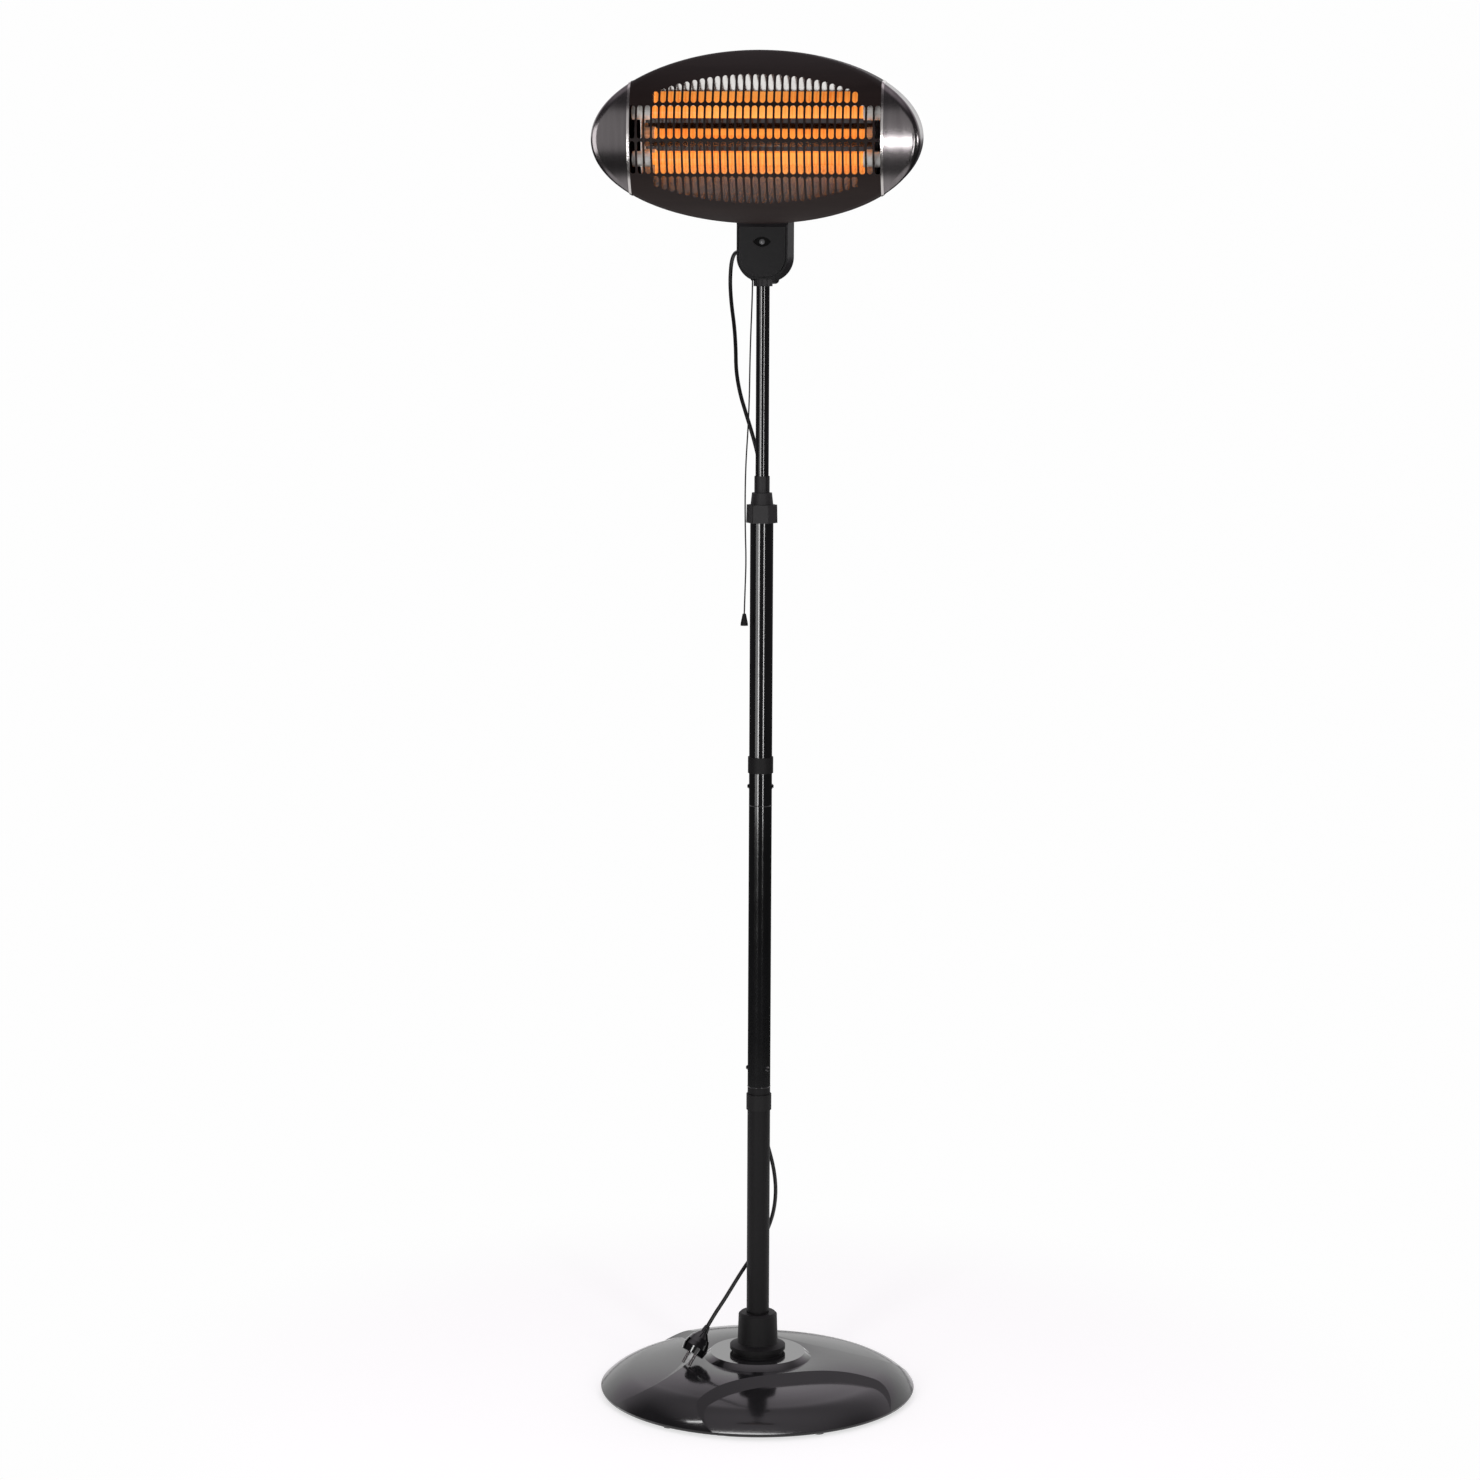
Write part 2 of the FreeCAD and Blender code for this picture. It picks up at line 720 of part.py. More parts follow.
def box_screw_holes(radius):
    return [rod(radius, at(x, box_back_y - box_screw_length, z), AXIS_Y, box_screw_length + overrun)
            for x, z in box_screw_places()]


def gland_direction():
    turn = math.radians(gland_turn)
    return at(-math.sin(turn), math.cos(turn), 0)


def gland_seat():
    return at(gland_x, box_back_y, gland_z)


def eye_recess(depth):
    """Eye-shaped prism in the front plate, from two crossing arcs."""
    z = box_base + eye_rise
    left = at(-eye_half_width, box_front_y - overrun, z)
    right = at(eye_half_width, box_front_y - overrun, z)
    upper = Part.Arc(left, at(0, box_front_y - overrun, z + eye_half_height), right).toShape()
    lower = Part.Arc(right, at(0, box_front_y - overrun, z - eye_half_height), left).toShape()
    return Part.Face(Part.Wire([upper, lower])).extrude(at(0, overrun + depth, 0))


def box_halves():
    """Front and rear halves of the control box."""
    shell = box_solid().cut(box_cavity())
    shell = shell.fuse([hinge_lug(), rear_boss().cut(box_cavity())])
    tube_hole = drum(inner_tube_radius + fixed_gap, box_base - rear_boss_drop - overrun,
                     box_base + inner_tube_in_box)
    eyelet_hole = drum(eyelet_radius + fixed_gap, box_base - overrun, box_base + eyelet_length,
                       eyelet_x, eyelet_y)
    bolt_hole = rod(tilt_bolt_radius + fixed_gap, at(-lug_half_width - overrun, hinge_y, hinge_z), AXIS_X,
                    2 * (lug_half_width + overrun))
    neck_room = drum(neck_radius + fixed_gap, box_base - rear_boss_drop - overrun, box_base)
    lens_hole = rod(lens_stem_radius + fixed_gap, at(0, box_front_y, box_base + eye_rise), AXIS_Y,
                    box_depth / 2)
    shell = shell.cut([tube_hole, eyelet_hole, bolt_hole, neck_room, eye_recess(eye_depth)])
    reach = box_height + hinge_rise + overrun + rear_boss_drop
    half_space = block((-box_depth - overrun, box_split_y, box_base - rear_boss_drop - overrun),
                       (box_depth + overrun, box_back_y + box_depth, box_base + reach + lug_radius))
    lug_room = hinge_lug()
    front = shell.cut([half_space, lug_room, lens_hole])
    rear = shell.common(half_space).fuse(lug_room.cut(bolt_hole))
    rear = rear.cut(box_screw_holes(box_screw_radius + fixed_gap))
    return front, rear


def box_screws():
    screws = []
    for x, z in box_screw_places():
        shank = rod(box_screw_radius, at(x, box_back_y - box_screw_length, z), AXIS_Y, box_screw_length)
        head = Part.makeCone(box_screw_head_radius, box_screw_radius, box_screw_head_height,
                             at(x, box_back_y, z), AXIS_Y)
        screws.append(shank.fuse(head))
    return group(screws)


def pilot_lens():
    """Domed lens on the floor of the eye-shaped recess."""
    floor_y = box_front_y + eye_depth
    z = box_base + eye_rise
    ball_radius = (lens_radius ** 2 + lens_dome ** 2) / (2 * lens_dome)
    ball = Part.makeSphere(ball_radius, at(0, floor_y - lens_dome + ball_radius, z))
    dome = ball.common(rod(lens_radius, at(0, floor_y - lens_dome, z), AXIS_Y, lens_dome))
    stem = rod(lens_stem_radius, at(0, floor_y, z), AXIS_Y, lens_stem_length)
    return dome.fuse(stem)


def pull_switch():
    """Ratchet switch on the inside of the front plate, beside the inner tube."""
    low = box_base + switch_rise
    right = -inner_tube_radius - switch_side_gap
    front = box_front_y + box_plate_thickness + box_wall
    return block((right - switch_width, front, low), (right, front + switch_depth, low + switch_height))


def pull_eyelet():
    low = box_base - eyelet_show
    high = box_base + eyelet_length - eyelet_show
    body = Part.makeCone(eyelet_bore + pull_cord_radius, eyelet_radius, eyelet_show,
                         at(eyelet_x, eyelet_y, low), AXIS_Z)
    body = body.fuse(drum(eyelet_radius, box_base, high, eyelet_x, eyelet_y))
    return body.cut(drum(eyelet_bore, low - overrun, high + overrun, eyelet_x, eyelet_y))


def cable_gland():
    """Tapered strain relief on the back of the box."""
    out = gland_direction()
    seat = gland_seat()
    flange = rod(gland_flange_radius, at(gland_x, box_back_y, gland_z), AXIS_Y, gland_flange_thickness)
    cone = Part.makeCone(gland_root_radius, gland_tip_radius, gland_length, seat, out)
    behind = block((gland_x - gland_length, box_back_y - box_depth, gland_z - gland_length),
                   (gland_x + gland_length, box_back_y, gland_z + gland_length))
    return flange.fuse(cone).cut(behind)


def terminal_block():
    low = box_base + terminal_rise
    y = box_back_y - box_wall
    return block((-terminal_width / 2, y - terminal_depth, low),
                 (terminal_width / 2, y, low + terminal_height))


def tip_switch():
    low = box_base + tip_switch_rise
    y = box_back_y - box_wall - tip_switch_radius
    return drum(tip_switch_radius, low, low + tip_switch_height, tip_switch_x, y)


def tilt_bolt():
    ear = lug_half_width + moving_gap + bracket_sheet
    head_seat = ear + moving_gap + washer_thickness
    tip = head_seat + moving_gap + knob_thickness
    shank = rod(tilt_bolt_radius, at(-head_seat, hinge_y, hinge_z), AXIS_X, head_seat + tip)
    head = rod(tilt_bolt_head_radius, at(-head_seat - tilt_bolt_head_thickness, hinge_y, hinge_z), AXIS_X,
               tilt_bolt_head_thickness)
    return shank.fuse(head)


def tilt_washers():
    start = lug_half_width + moving_gap + bracket_sheet + moving_gap
    washers = []
    for x in (-start - washer_thickness, start):
        washer = rod(washer_radius, at(x, hinge_y, hinge_z), AXIS_X, washer_thickness)
        hole = rod(tilt_bolt_radius + fixed_gap, at(x - overrun, hinge_y, hinge_z), AXIS_X,
                   washer_thickness + 2 * overrun)
        washers.append(washer.cut(hole))
    return group(washers)


def tilt_knob():
    """Lobed hand knob on the end of the hinge bolt."""
    seat = lug_half_width + moving_gap + bracket_sheet + moving_gap + washer_thickness + moving_gap
    body = drum(knob_radius, knob_hub_height, knob_thickness)
    hub = drum(knob_hub_radius, 0.0, knob_hub_height)
    cut = drum(knob_lobe_cut_radius, -overrun, knob_thickness + overrun,
               knob_radius + knob_lobe_cut_radius / 2)
    bore = drum(tilt_bolt_radius + sliding_gap, -overrun, knob_thickness + overrun)
    knob = body.fuse(hub).cut(spread(cut, knob_lobe_count) + [bore])
    knob.rotate(ORIGIN, AXIS_Y, FULL_TURN / 4)
    knob.translate(at(seat, hinge_y, hinge_z))
    return knob


def tilted(shape):
    """Move a head piece from its upright drawing to its place on the hinge."""
    shape.translate(at(0, -hinge_behind_rim, hinge_below_middle))
    shape.rotate(ORIGIN, AXIS_X, head_tilt)
    shape.translate(at(0, hinge_y, hinge_z))
    return shape


def ellipse_wire(half_width, half_height, y):
    curve = Part.Ellipse(ORIGIN, half_width, half_height)
    wire = Part.Wire([curve.toShape()])
    wire.rotate(ORIGIN, AXIS_X, FULL_TURN / 4)
    wire.translate(at(0, y, 0))
    return wire


def oval_prism(inset, front, back):
    face = Part.Face(ellipse_wire(head_half_width - inset, head_half_height - inset, back))
    return face.extrude(at(0, front - back, 0))


def rolled_bar(inset):
    """Wide horizontal cylinder whose front is the rolled face of the head."""
    middle = head_front_radius - head_front_depth
    start = at(-head_half_width - overrun, middle, 0)
    return rod(head_front_radius - inset, start, AXIS_X, 2 * (head_half_width + overrun))


def head_front_form(inset, back):
    """Rolled oval front of the head with its rounded edge."""
    form = oval_prism(inset, -head_front_depth - overrun, back).common(rolled_bar(inset))
    rim_edges = [edge for edge in form.Edges
                 if edge.BoundBox.YMax < back - fixed_gap and edge.Length > head_half_height]
    return form.makeFillet(head_edge_round - inset, rim_edges)


def head_front_shell():
    return head_front_form(0.0, 0.0).cut(head_front_form(head_sheet, overrun))


def slab(x_low, x_high):
    reach = head_half_width + overrun
    return block((x_low, -reach, -reach), (x_high, reach, reach))


def slot_prism(x, low, high):
    """One punched slot with round ends."""
    half = slot_width / 2
    y = -head_front_depth - overrun
    corners = [at(x - half, y, low + half), at(x - half, y, high - half),
               at(x + half, y, high - half), at(x + half, y, low + half)]
    edges = [Part.makeLine(corners[0], corners[1]),
             Part.Arc(corners[1], at(x, y, high), corners[2]).toShape(),
             Part.makeLine(corners[2], corners[3]),
             Part.Arc(corners[3], at(x, y, low), corners[0]).toShape()]
    return Part.Face(Part.Wire(edges)).extrude(at(0, head_front_depth + overrun, 0))


def grille_slots():
    """Four rows of slots between three bars, clipped to an oval field."""
    columns = int(grille_half_width / slot_pitch)
    half_bar = slot_bar / 2
    slots = []
    for i in range(-columns, columns + 1):
        x = i * slot_pitch
        reach = grille_half_height * math.sqrt(1 - (x / grille_field_half_width) ** 2)
        rows = [(half_bar, slot_row_height - half_bar), (slot_row_height + half_bar, reach)]
        for low, high in rows:
            high = min(high, reach)
            if high - low > slot_least_length:
                slots.append(slot_prism(x, low, high))
                slots.append(slot_prism(x, -high, -low))
    return slots


def front_panel(shell):
    """Rolled steel panel with its punched grille."""
    panel = shell.common(slab(-seam_x + seam_trim_half_width, seam_x - seam_trim_half_width))
    return tilted(panel.cut(grille_slots()))


def end_cap(shell, side):
    near = seam_x + seam_trim_half_width
    far = head_half_width + overrun
    return tilted(shell.common(slab(min(side * near, side * far), max(side * near, side * far))))


def seam_trim(side):
    """Bright bead that covers the joint of panel and end cap."""
    x = side * seam_x
    bead = head_front_form(-seam_trim_proud, 0.0).cut(head_front_form(head_sheet, overrun))
    return tilted(bead.common(slab(x - seam_trim_half_width, x + seam_trim_half_width)))


def rear_form(inset, start):
    """Tapered oval back of the head."""
    wires = []
    for taper, depth in zip(rear_taper_shares, rear_depth_shares):
        shrink = inset + taper * rear_taper
        y = start + depth * (rear_depth - start) - (inset if depth == rear_depth_shares[-1] else 0.0)
        wires.append(ellipse_wire(head_half_width - shrink, head_half_height - shrink, y))
    return Part.makeLoft(wires, True, True)


def vent_slots():
    vents = []
    for row in vent_row_heights:
        for i in range(vent_count):
            x = (i - (vent_count - 1) / 2) * vent_pitch
            vents.append(block((x - vent_half_width, 0, row - vent_half_height),
                               (x + vent_half_width, rear_depth + overrun, row + vent_half_height)))
    return vents


def head_screw_places():
    x = holder_x - holder_tab_width / 2
    return [(side * x, spot * head_screw_height) for side in (-1, 1) for spot in (-1, 1)]


def head_screw_holes():
    start = rear_depth - head_screw_length
    return [rod(head_screw_radius + fixed_gap, at(x, start, z), AXIS_Y, head_screw_length + overrun)
            for x, z in head_screw_places()]


def rear_shell():
    """Drawn back of the head with vents and a lip inside the front."""
    gap = head_sheet + fixed_gap
    outside = rear_form(0.0, 0.0)
    inside = oval_prism(gap + head_sheet, -rear_lip_depth - overrun, overrun)
    lip = oval_prism(gap, -rear_lip_depth, 0.0).cut(inside)
    floor = oval_prism(0.0, 0.0, head_sheet).cut(inside).common(outside)
    shell = outside.cut(rear_form(head_sheet, 0.0)).fuse([lip, floor])
    return tilted(shell.cut(vent_slots() + head_screw_holes() + bracket_screw_holes()))


def element_height(spot):
    """Height of the upper or lower element over the middle of the head."""
    return element_rise + spot * element_half_spacing


def reflector():
    """Bent W-shaped mirror sheet behind the two tubes."""
    floor = -reflector_floor_forward
    front = [(-reflector_lip_forward, reflector_lip_height), (floor, element_rise + reflector_floor_high),
             (floor, element_rise + reflector_floor_low), (-reflector_ridge_forward, element_rise),
             (floor, element_rise - reflector_floor_low), (floor, element_rise - reflector_floor_high),
             (-reflector_lip_forward, -reflector_lip_height)]
    back = [(y + reflector_sheet, z) for y, z in reversed(front)]
    sheet = plate_yz(front + back, -holder_x, holder_x)
    return tilted(sheet.common(oval_prism(reflector_margin, -head_front_depth, rear_depth)))


def tube_holder(side):
    """Sheet bracket across the head that carries two ceramic ends."""
    half = [(rear_depth - head_sheet, holder_foot_half_height),
            (holder_waist_back, holder_waist_half_height), (-holder_front, holder_front_half_height)]
    outline = half + [(y, -z) for y, z in reversed(half)]
    x = side * holder_x
    plate = plate_yz(outline, min(x, x + side * holder_sheet), max(x, x + side * holder_sheet))
    neck = ceramic_radius - holder_sheet
    holes = []
    for spot in (-1, 1):
        z = element_height(spot)
        holes.append(rod(neck, at(x - overrun, -element_forward, z), AXIS_X, 2 * overrun))
        holes.append(block((x - overrun, -holder_front - overrun, z - neck),
                           (x + overrun, -element_forward, z + neck)))
    back = rear_depth - head_sheet
    inner = x - side * holder_tab_width
    tab = block((min(x, inner), back - holder_sheet, -holder_foot_half_height),
                (max(x, inner), back, holder_foot_half_height))
    return tilted(plate.fuse(tab).cut(holes + head_screw_holes()))


def ceramic_ends():
    """White ceramic ends with a groove that sits in the tube holders."""
    ends = []
    inner = quartz_half_length - ceramic_socket_depth
    for side in (-1, 1):
        for spot in (-1, 1):
            z = element_height(spot)
            out = at(side, 0, 0)
            body = rod(ceramic_radius, at(side * inner, -element_forward, z), out, ceramic_length)
            socket = rod(quartz_radius + fixed_gap, at(side * (inner - overrun), -element_forward, z), out,
                         overrun + ceramic_socket_depth)
            groove_start = at(side * (holder_x - fixed_gap), -element_forward, z)
            groove_width = holder_sheet + 2 * fixed_gap
            groove = rod(ceramic_radius + overrun, groove_start, out, groove_width).cut(
                rod(ceramic_radius - holder_sheet - fixed_gap, groove_start, out, groove_width))
            ends.append(body.cut([socket, groove]))
    return tilted(group(ends))


def quartz_tube(spot):
    start = at(-quartz_half_length, -element_forward, element_height(spot))
    tube = rod(quartz_radius, start, AXIS_X, 2 * quartz_half_length)
    bore = rod(quartz_radius - quartz_wall, start - AXIS_X * overrun, AXIS_X,
               2 * (quartz_half_length + overrun))
    return tilted(tube.cut(bore))


def heating_coil(spot):
    """Wound heating wire, held as the plain sleeve that its turns fill."""
    start = at(-quartz_half_length, -element_forward, element_height(spot))
    return tilted(rod(coil_radius, start, AXIS_X, 2 * quartz_half_length))


def head_screws():
    screws = []
    for x, z in head_screw_places():
        shank = rod(head_screw_radius, at(x, rear_depth - head_screw_length, z), AXIS_Y, head_screw_length)
        head = Part.makeCone(head_screw_head_radius, head_screw_radius, head_screw_head_height,
                             at(x, rear_depth, z), AXIS_Y)
        screws.append(shank.fuse(head))
    return tilted(group(screws))


def bracket_screw_places():
    x = lug_half_width / 2
    z = -(bracket_plate_low + bracket_plate_high) / 2
    return [(side * x, z) for side in (-1, 1)]


def bracket_screw_holes():
    return [rod(bracket_screw_radius + fixed_gap, at(x, 0, z), AXIS_Y, rear_depth + overrun)
            for x, z in bracket_screw_places()]


def tilt_bracket():
    """Bent steel bracket on the head's back, with two ears on the hinge bolt."""
    back = rear_depth + bracket_sheet
    near = lug_half_width + moving_gap
    outside = near + bracket_sheet
    plate = block((-outside, rear_depth, -bracket_plate_low), (outside, back, -bracket_plate_high))
    ears = []
    for side in (-1, 1):
        low = min(side * near, side * (near + bracket_sheet))
        outline = [(rear_depth, -bracket_plate_high), (rear_depth, -bracket_plate_low),
                   (hinge_behind_rim - bracket_ear_radius, -hinge_below_middle),
                   (hinge_behind_rim, -hinge_below_middle),
                   (hinge_behind_rim + bracket_ear_radius, -hinge_below_middle)]
        ear = plate_yz(outline, low, low + bracket_sheet)
        end = rod(bracket_ear_radius, at(low, hinge_behind_rim, -hinge_below_middle), AXIS_X, bracket_sheet)
        ears.append(ear.fuse(end))
    hole = rod(tilt_bolt_radius + sliding_gap, at(-head_half_width, hinge_behind_rim, -hinge_below_middle),
               AXIS_X, 2 * head_half_width)
    screw_holes = [rod(bracket_screw_radius + fixed_gap, at(x, rear_depth - overrun, z), AXIS_Y,
                       bracket_sheet + 2 * overrun) for x, z in bracket_screw_places()]
    return tilted(plate.fuse(ears).cut([hole] + screw_holes))


def bracket_screws():
    screws = []
    seat = rear_depth + bracket_sheet
    for x, z in bracket_screw_places():
        shank = rod(bracket_screw_radius, at(x, rear_depth - head_screw_length, z), AXIS_Y,
                    head_screw_length + bracket_sheet)
        head = Part.makeCone(bracket_screw_head_radius, bracket_screw_radius, bracket_screw_head_height,
                             at(x, seat, z), AXIS_Y)
        screws.append(shank.fuse(head))
    return tilted(group(screws))


def cord_tube(name, route, radius):
    """Tube along straight runs joined by tangent arcs, each as large as its two runs allow."""
    points = [at(*point) for point in route]
    edges = []
    radii = []
    start = points[0]
    for before, corner, after in zip(points, points[1:], points[2:]):
        back = before - corner
        ahead = after - corner
        tangent = arc_share * min(back.Length, ahead.Length)
        back.normalize()
        ahead.normalize()
        half_turn = (math.pi - back.getAngle(ahead)) / 2
        if half_turn < math.radians(straight_turn) / 2:
            continue
        bend = tangent / math.tan(half_turn)
        inward = back + ahead
        inward.normalize()
        middle = corner + inward * (bend / math.cos(half_turn) - bend)
        edges.append(Part.makeLine(start, corner + back * tangent))
        edges.append(Part.Arc(corner + back * tangent, middle, corner + ahead * tangent).toShape())
        radii.append(bend)
        start = corner + ahead * tangent
    edges.append(Part.makeLine(start, points[-1]))
    path = Part.Wire(edges)
    section = Part.Wire([Part.Circle(points[0], points[1] - points[0], radius).toShape()])
    tube = path.makePipeShell([section], True, False)
    expected = math.pi * radius ** 2 * path.Length
    print(name, "length", round(path.Length, 1), "least radius", round(min(radii), 1),
          "volume ratio", round(tube.Volume / expected, 4))
    return tube


def mains_cord_clipped():
    """Stretch of the lead that the two rings hold along the back of the pole."""
    return drum(cord_radius, lower_ring_base, upper_ring_base + ring_height, 0.0, clip_y)


def pull_knob():
    x, y, top = pull_cord_points[-1]
    low = top - pull_knob_height
    outline = [(0, low), (pull_knob_radius, low), (pull_knob_radius, low + pull_knob_lip),
               (pull_knob_top_radius, top), (0, top)]
    knob = turned(outline)
    knob.translate(at(x, y, 0))
    return knob


def plugged(shape):
    """Move a plug piece from its upright drawing to where the plug leans on the dish."""
    direction = at(*plug_axis_shares)
    direction.normalize()
    level = direction.cross(AXIS_Z)
    level.normalize()
    turn = FreeCAD.Rotation(level, direction.cross(level), direction, "ZXY")
    face = at(*plug_tip) - direction * plug_length
    shape.Placement = FreeCAD.Placement(face, turn)
    return shape


def plug_body():
    """Round two-pin plug with side notches and a tapered strain relief."""
    outline = [(0, 0), (plug_face_radius, 0), (plug_belly_radius, plug_belly_height),
               (plug_face_radius, plug_rim_height), (plug_shoulder_radius, plug_shoulder_height),
               (plug_neck_radius, plug_neck_height), (plug_relief_root_radius, plug_neck_height),
               (plug_relief_tip_radius, plug_length), (0, plug_length)]
    body = turned(outline)
    half = plug_notch_width / 2
    notches = [block((-half, side * plug_face_radius - plug_notch_depth, -overrun),
                     (half, side * plug_face_radius + plug_notch_depth, plug_rim_height))
               for side in (-1, 1)]
    return plugged(body.cut(notches))


def plug_pins():
    pins = [drum(plug_pin_radius, -plug_pin_length, 0.0, side * plug_pin_half_spacing) for side in (-1, 1)]
    return plugged(group(pins))


def main():
    os.makedirs("parts", exist_ok=True)
    save("base_dish", base_dish())
    save("base_ballast", base_ballast())
    save("base_feet", base_feet())
    save("pole_foot", pole_foot())
    save("foot_bolts", foot_bolts())
    save("base_socket", base_socket())

    screw_low = lower_joint + joint_screw_rise
    screw_high = upper_joint + joint_screw_rise
    save("lower_tube", pole_tube(lower_tube_base, lower_tube_length, (), 0.0))
    save("middle_tube", pole_tube(lower_joint, middle_tube_length, lower_screw_angles, screw_low))
    save("upper_tube", pole_tube(upper_joint, upper_tube_length, upper_screw_angles, screw_high))
    save("lower_spigot", spigot(lower_joint, lower_screw_angles))
    save("upper_spigot", spigot(upper_joint, upper_screw_angles))
    save("lower_joint_screws", joint_screws(lower_joint, lower_screw_angles))
    save("upper_joint_screws", joint_screws(upper_joint, upper_screw_angles))
    save("lower_cable_ring", cable_ring(lower_ring_base))
    save("upper_cable_ring", cable_ring(upper_ring_base))
    save("clamp_collet", clamp_collet())
    save("clamp_nut", clamp_nut())

    save("inner_tube", inner_tube())
    save("guide_bush", guide_bush())
    save("neck_collar", neck_collar())
    box_front, box_rear = box_halves()
    save("box_front", box_front)
    save("box_rear", box_rear)
    save("box_screws", box_screws())
    save("pilot_lens", pilot_lens())
    save("pull_switch", pull_switch())
    save("pull_eyelet", pull_eyelet())
    save("cable_gland", cable_gland())
    save("terminal_block", terminal_block())
    save("tip_switch", tip_switch())
    save("tilt_bolt", tilt_bolt())
    save("tilt_washers", tilt_washers())
    save("tilt_knob", tilt_knob())

    shell = head_front_shell()
    save("front_panel", front_panel(shell))
    for name, side in (("left", -1), ("right", 1)):
        save("end_cap_" + name, end_cap(shell, side))
        save("seam_trim_" + name, seam_trim(side))
        save("tube_holder_" + name, tube_holder(side))
    save("rear_shell", rear_shell())
    save("reflector", reflector())
    save("ceramic_ends", ceramic_ends())
    for name, spot in (("upper", 1), ("lower", -1)):
        save("quartz_tube_" + name, quartz_tube(spot))
        save("heating_coil_" + name, heating_coil(spot))
    save("head_screws", head_screws())
    save("tilt_bracket", tilt_bracket())
    save("bracket_screws", bracket_screws())

    save("mains_cord_upper", cord_tube("mains_cord_upper", upper_cord_points, cord_radius))
    save("mains_cord_clipped", mains_cord_clipped())
    save("mains_cord_lower", cord_tube("mains_cord_lower", lower_cord_points, cord_radius))
    save("plug_body", plug_body())
    save("plug_pins", plug_pins())
    save("pull_cord", cord_tube("pull_cord", pull_cord_points, pull_cord_radius))
    save("pull_knob", pull_knob())


main()
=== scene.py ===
import json
import math

import bpy
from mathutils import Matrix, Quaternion, Vector


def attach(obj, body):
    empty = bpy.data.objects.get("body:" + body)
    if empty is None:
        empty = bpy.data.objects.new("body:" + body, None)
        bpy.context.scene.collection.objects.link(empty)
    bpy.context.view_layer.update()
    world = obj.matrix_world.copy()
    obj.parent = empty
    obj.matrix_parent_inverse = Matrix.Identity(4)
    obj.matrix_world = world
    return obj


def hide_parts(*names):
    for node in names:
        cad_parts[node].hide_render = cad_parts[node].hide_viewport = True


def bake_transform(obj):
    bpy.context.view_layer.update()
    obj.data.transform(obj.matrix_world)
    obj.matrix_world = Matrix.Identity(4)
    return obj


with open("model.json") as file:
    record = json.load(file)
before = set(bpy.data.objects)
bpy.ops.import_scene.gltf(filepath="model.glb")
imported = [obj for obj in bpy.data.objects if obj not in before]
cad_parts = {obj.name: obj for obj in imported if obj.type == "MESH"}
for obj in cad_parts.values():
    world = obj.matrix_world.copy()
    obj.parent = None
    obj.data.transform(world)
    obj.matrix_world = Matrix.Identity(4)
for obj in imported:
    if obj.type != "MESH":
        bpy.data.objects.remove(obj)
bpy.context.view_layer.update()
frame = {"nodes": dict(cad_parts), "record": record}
NODES = frame["nodes"]

# Nodes whose finish isn't that of their slot
OTHER_LOOKS = {
    "lower_joint_screws": "gloss_paint",
    "upper_joint_screws": "gloss_paint",
    "plug_body": "gloss_paint",
    "plug_pins": "gunmetal",
    "tube_holder_left": "bright_sheet",
    "tube_holder_right": "bright_sheet",
    "clamp_nut": "grey_plastic",
    "clamp_collet": "grey_plastic",
    "neck_collar": "grey_plastic",
}

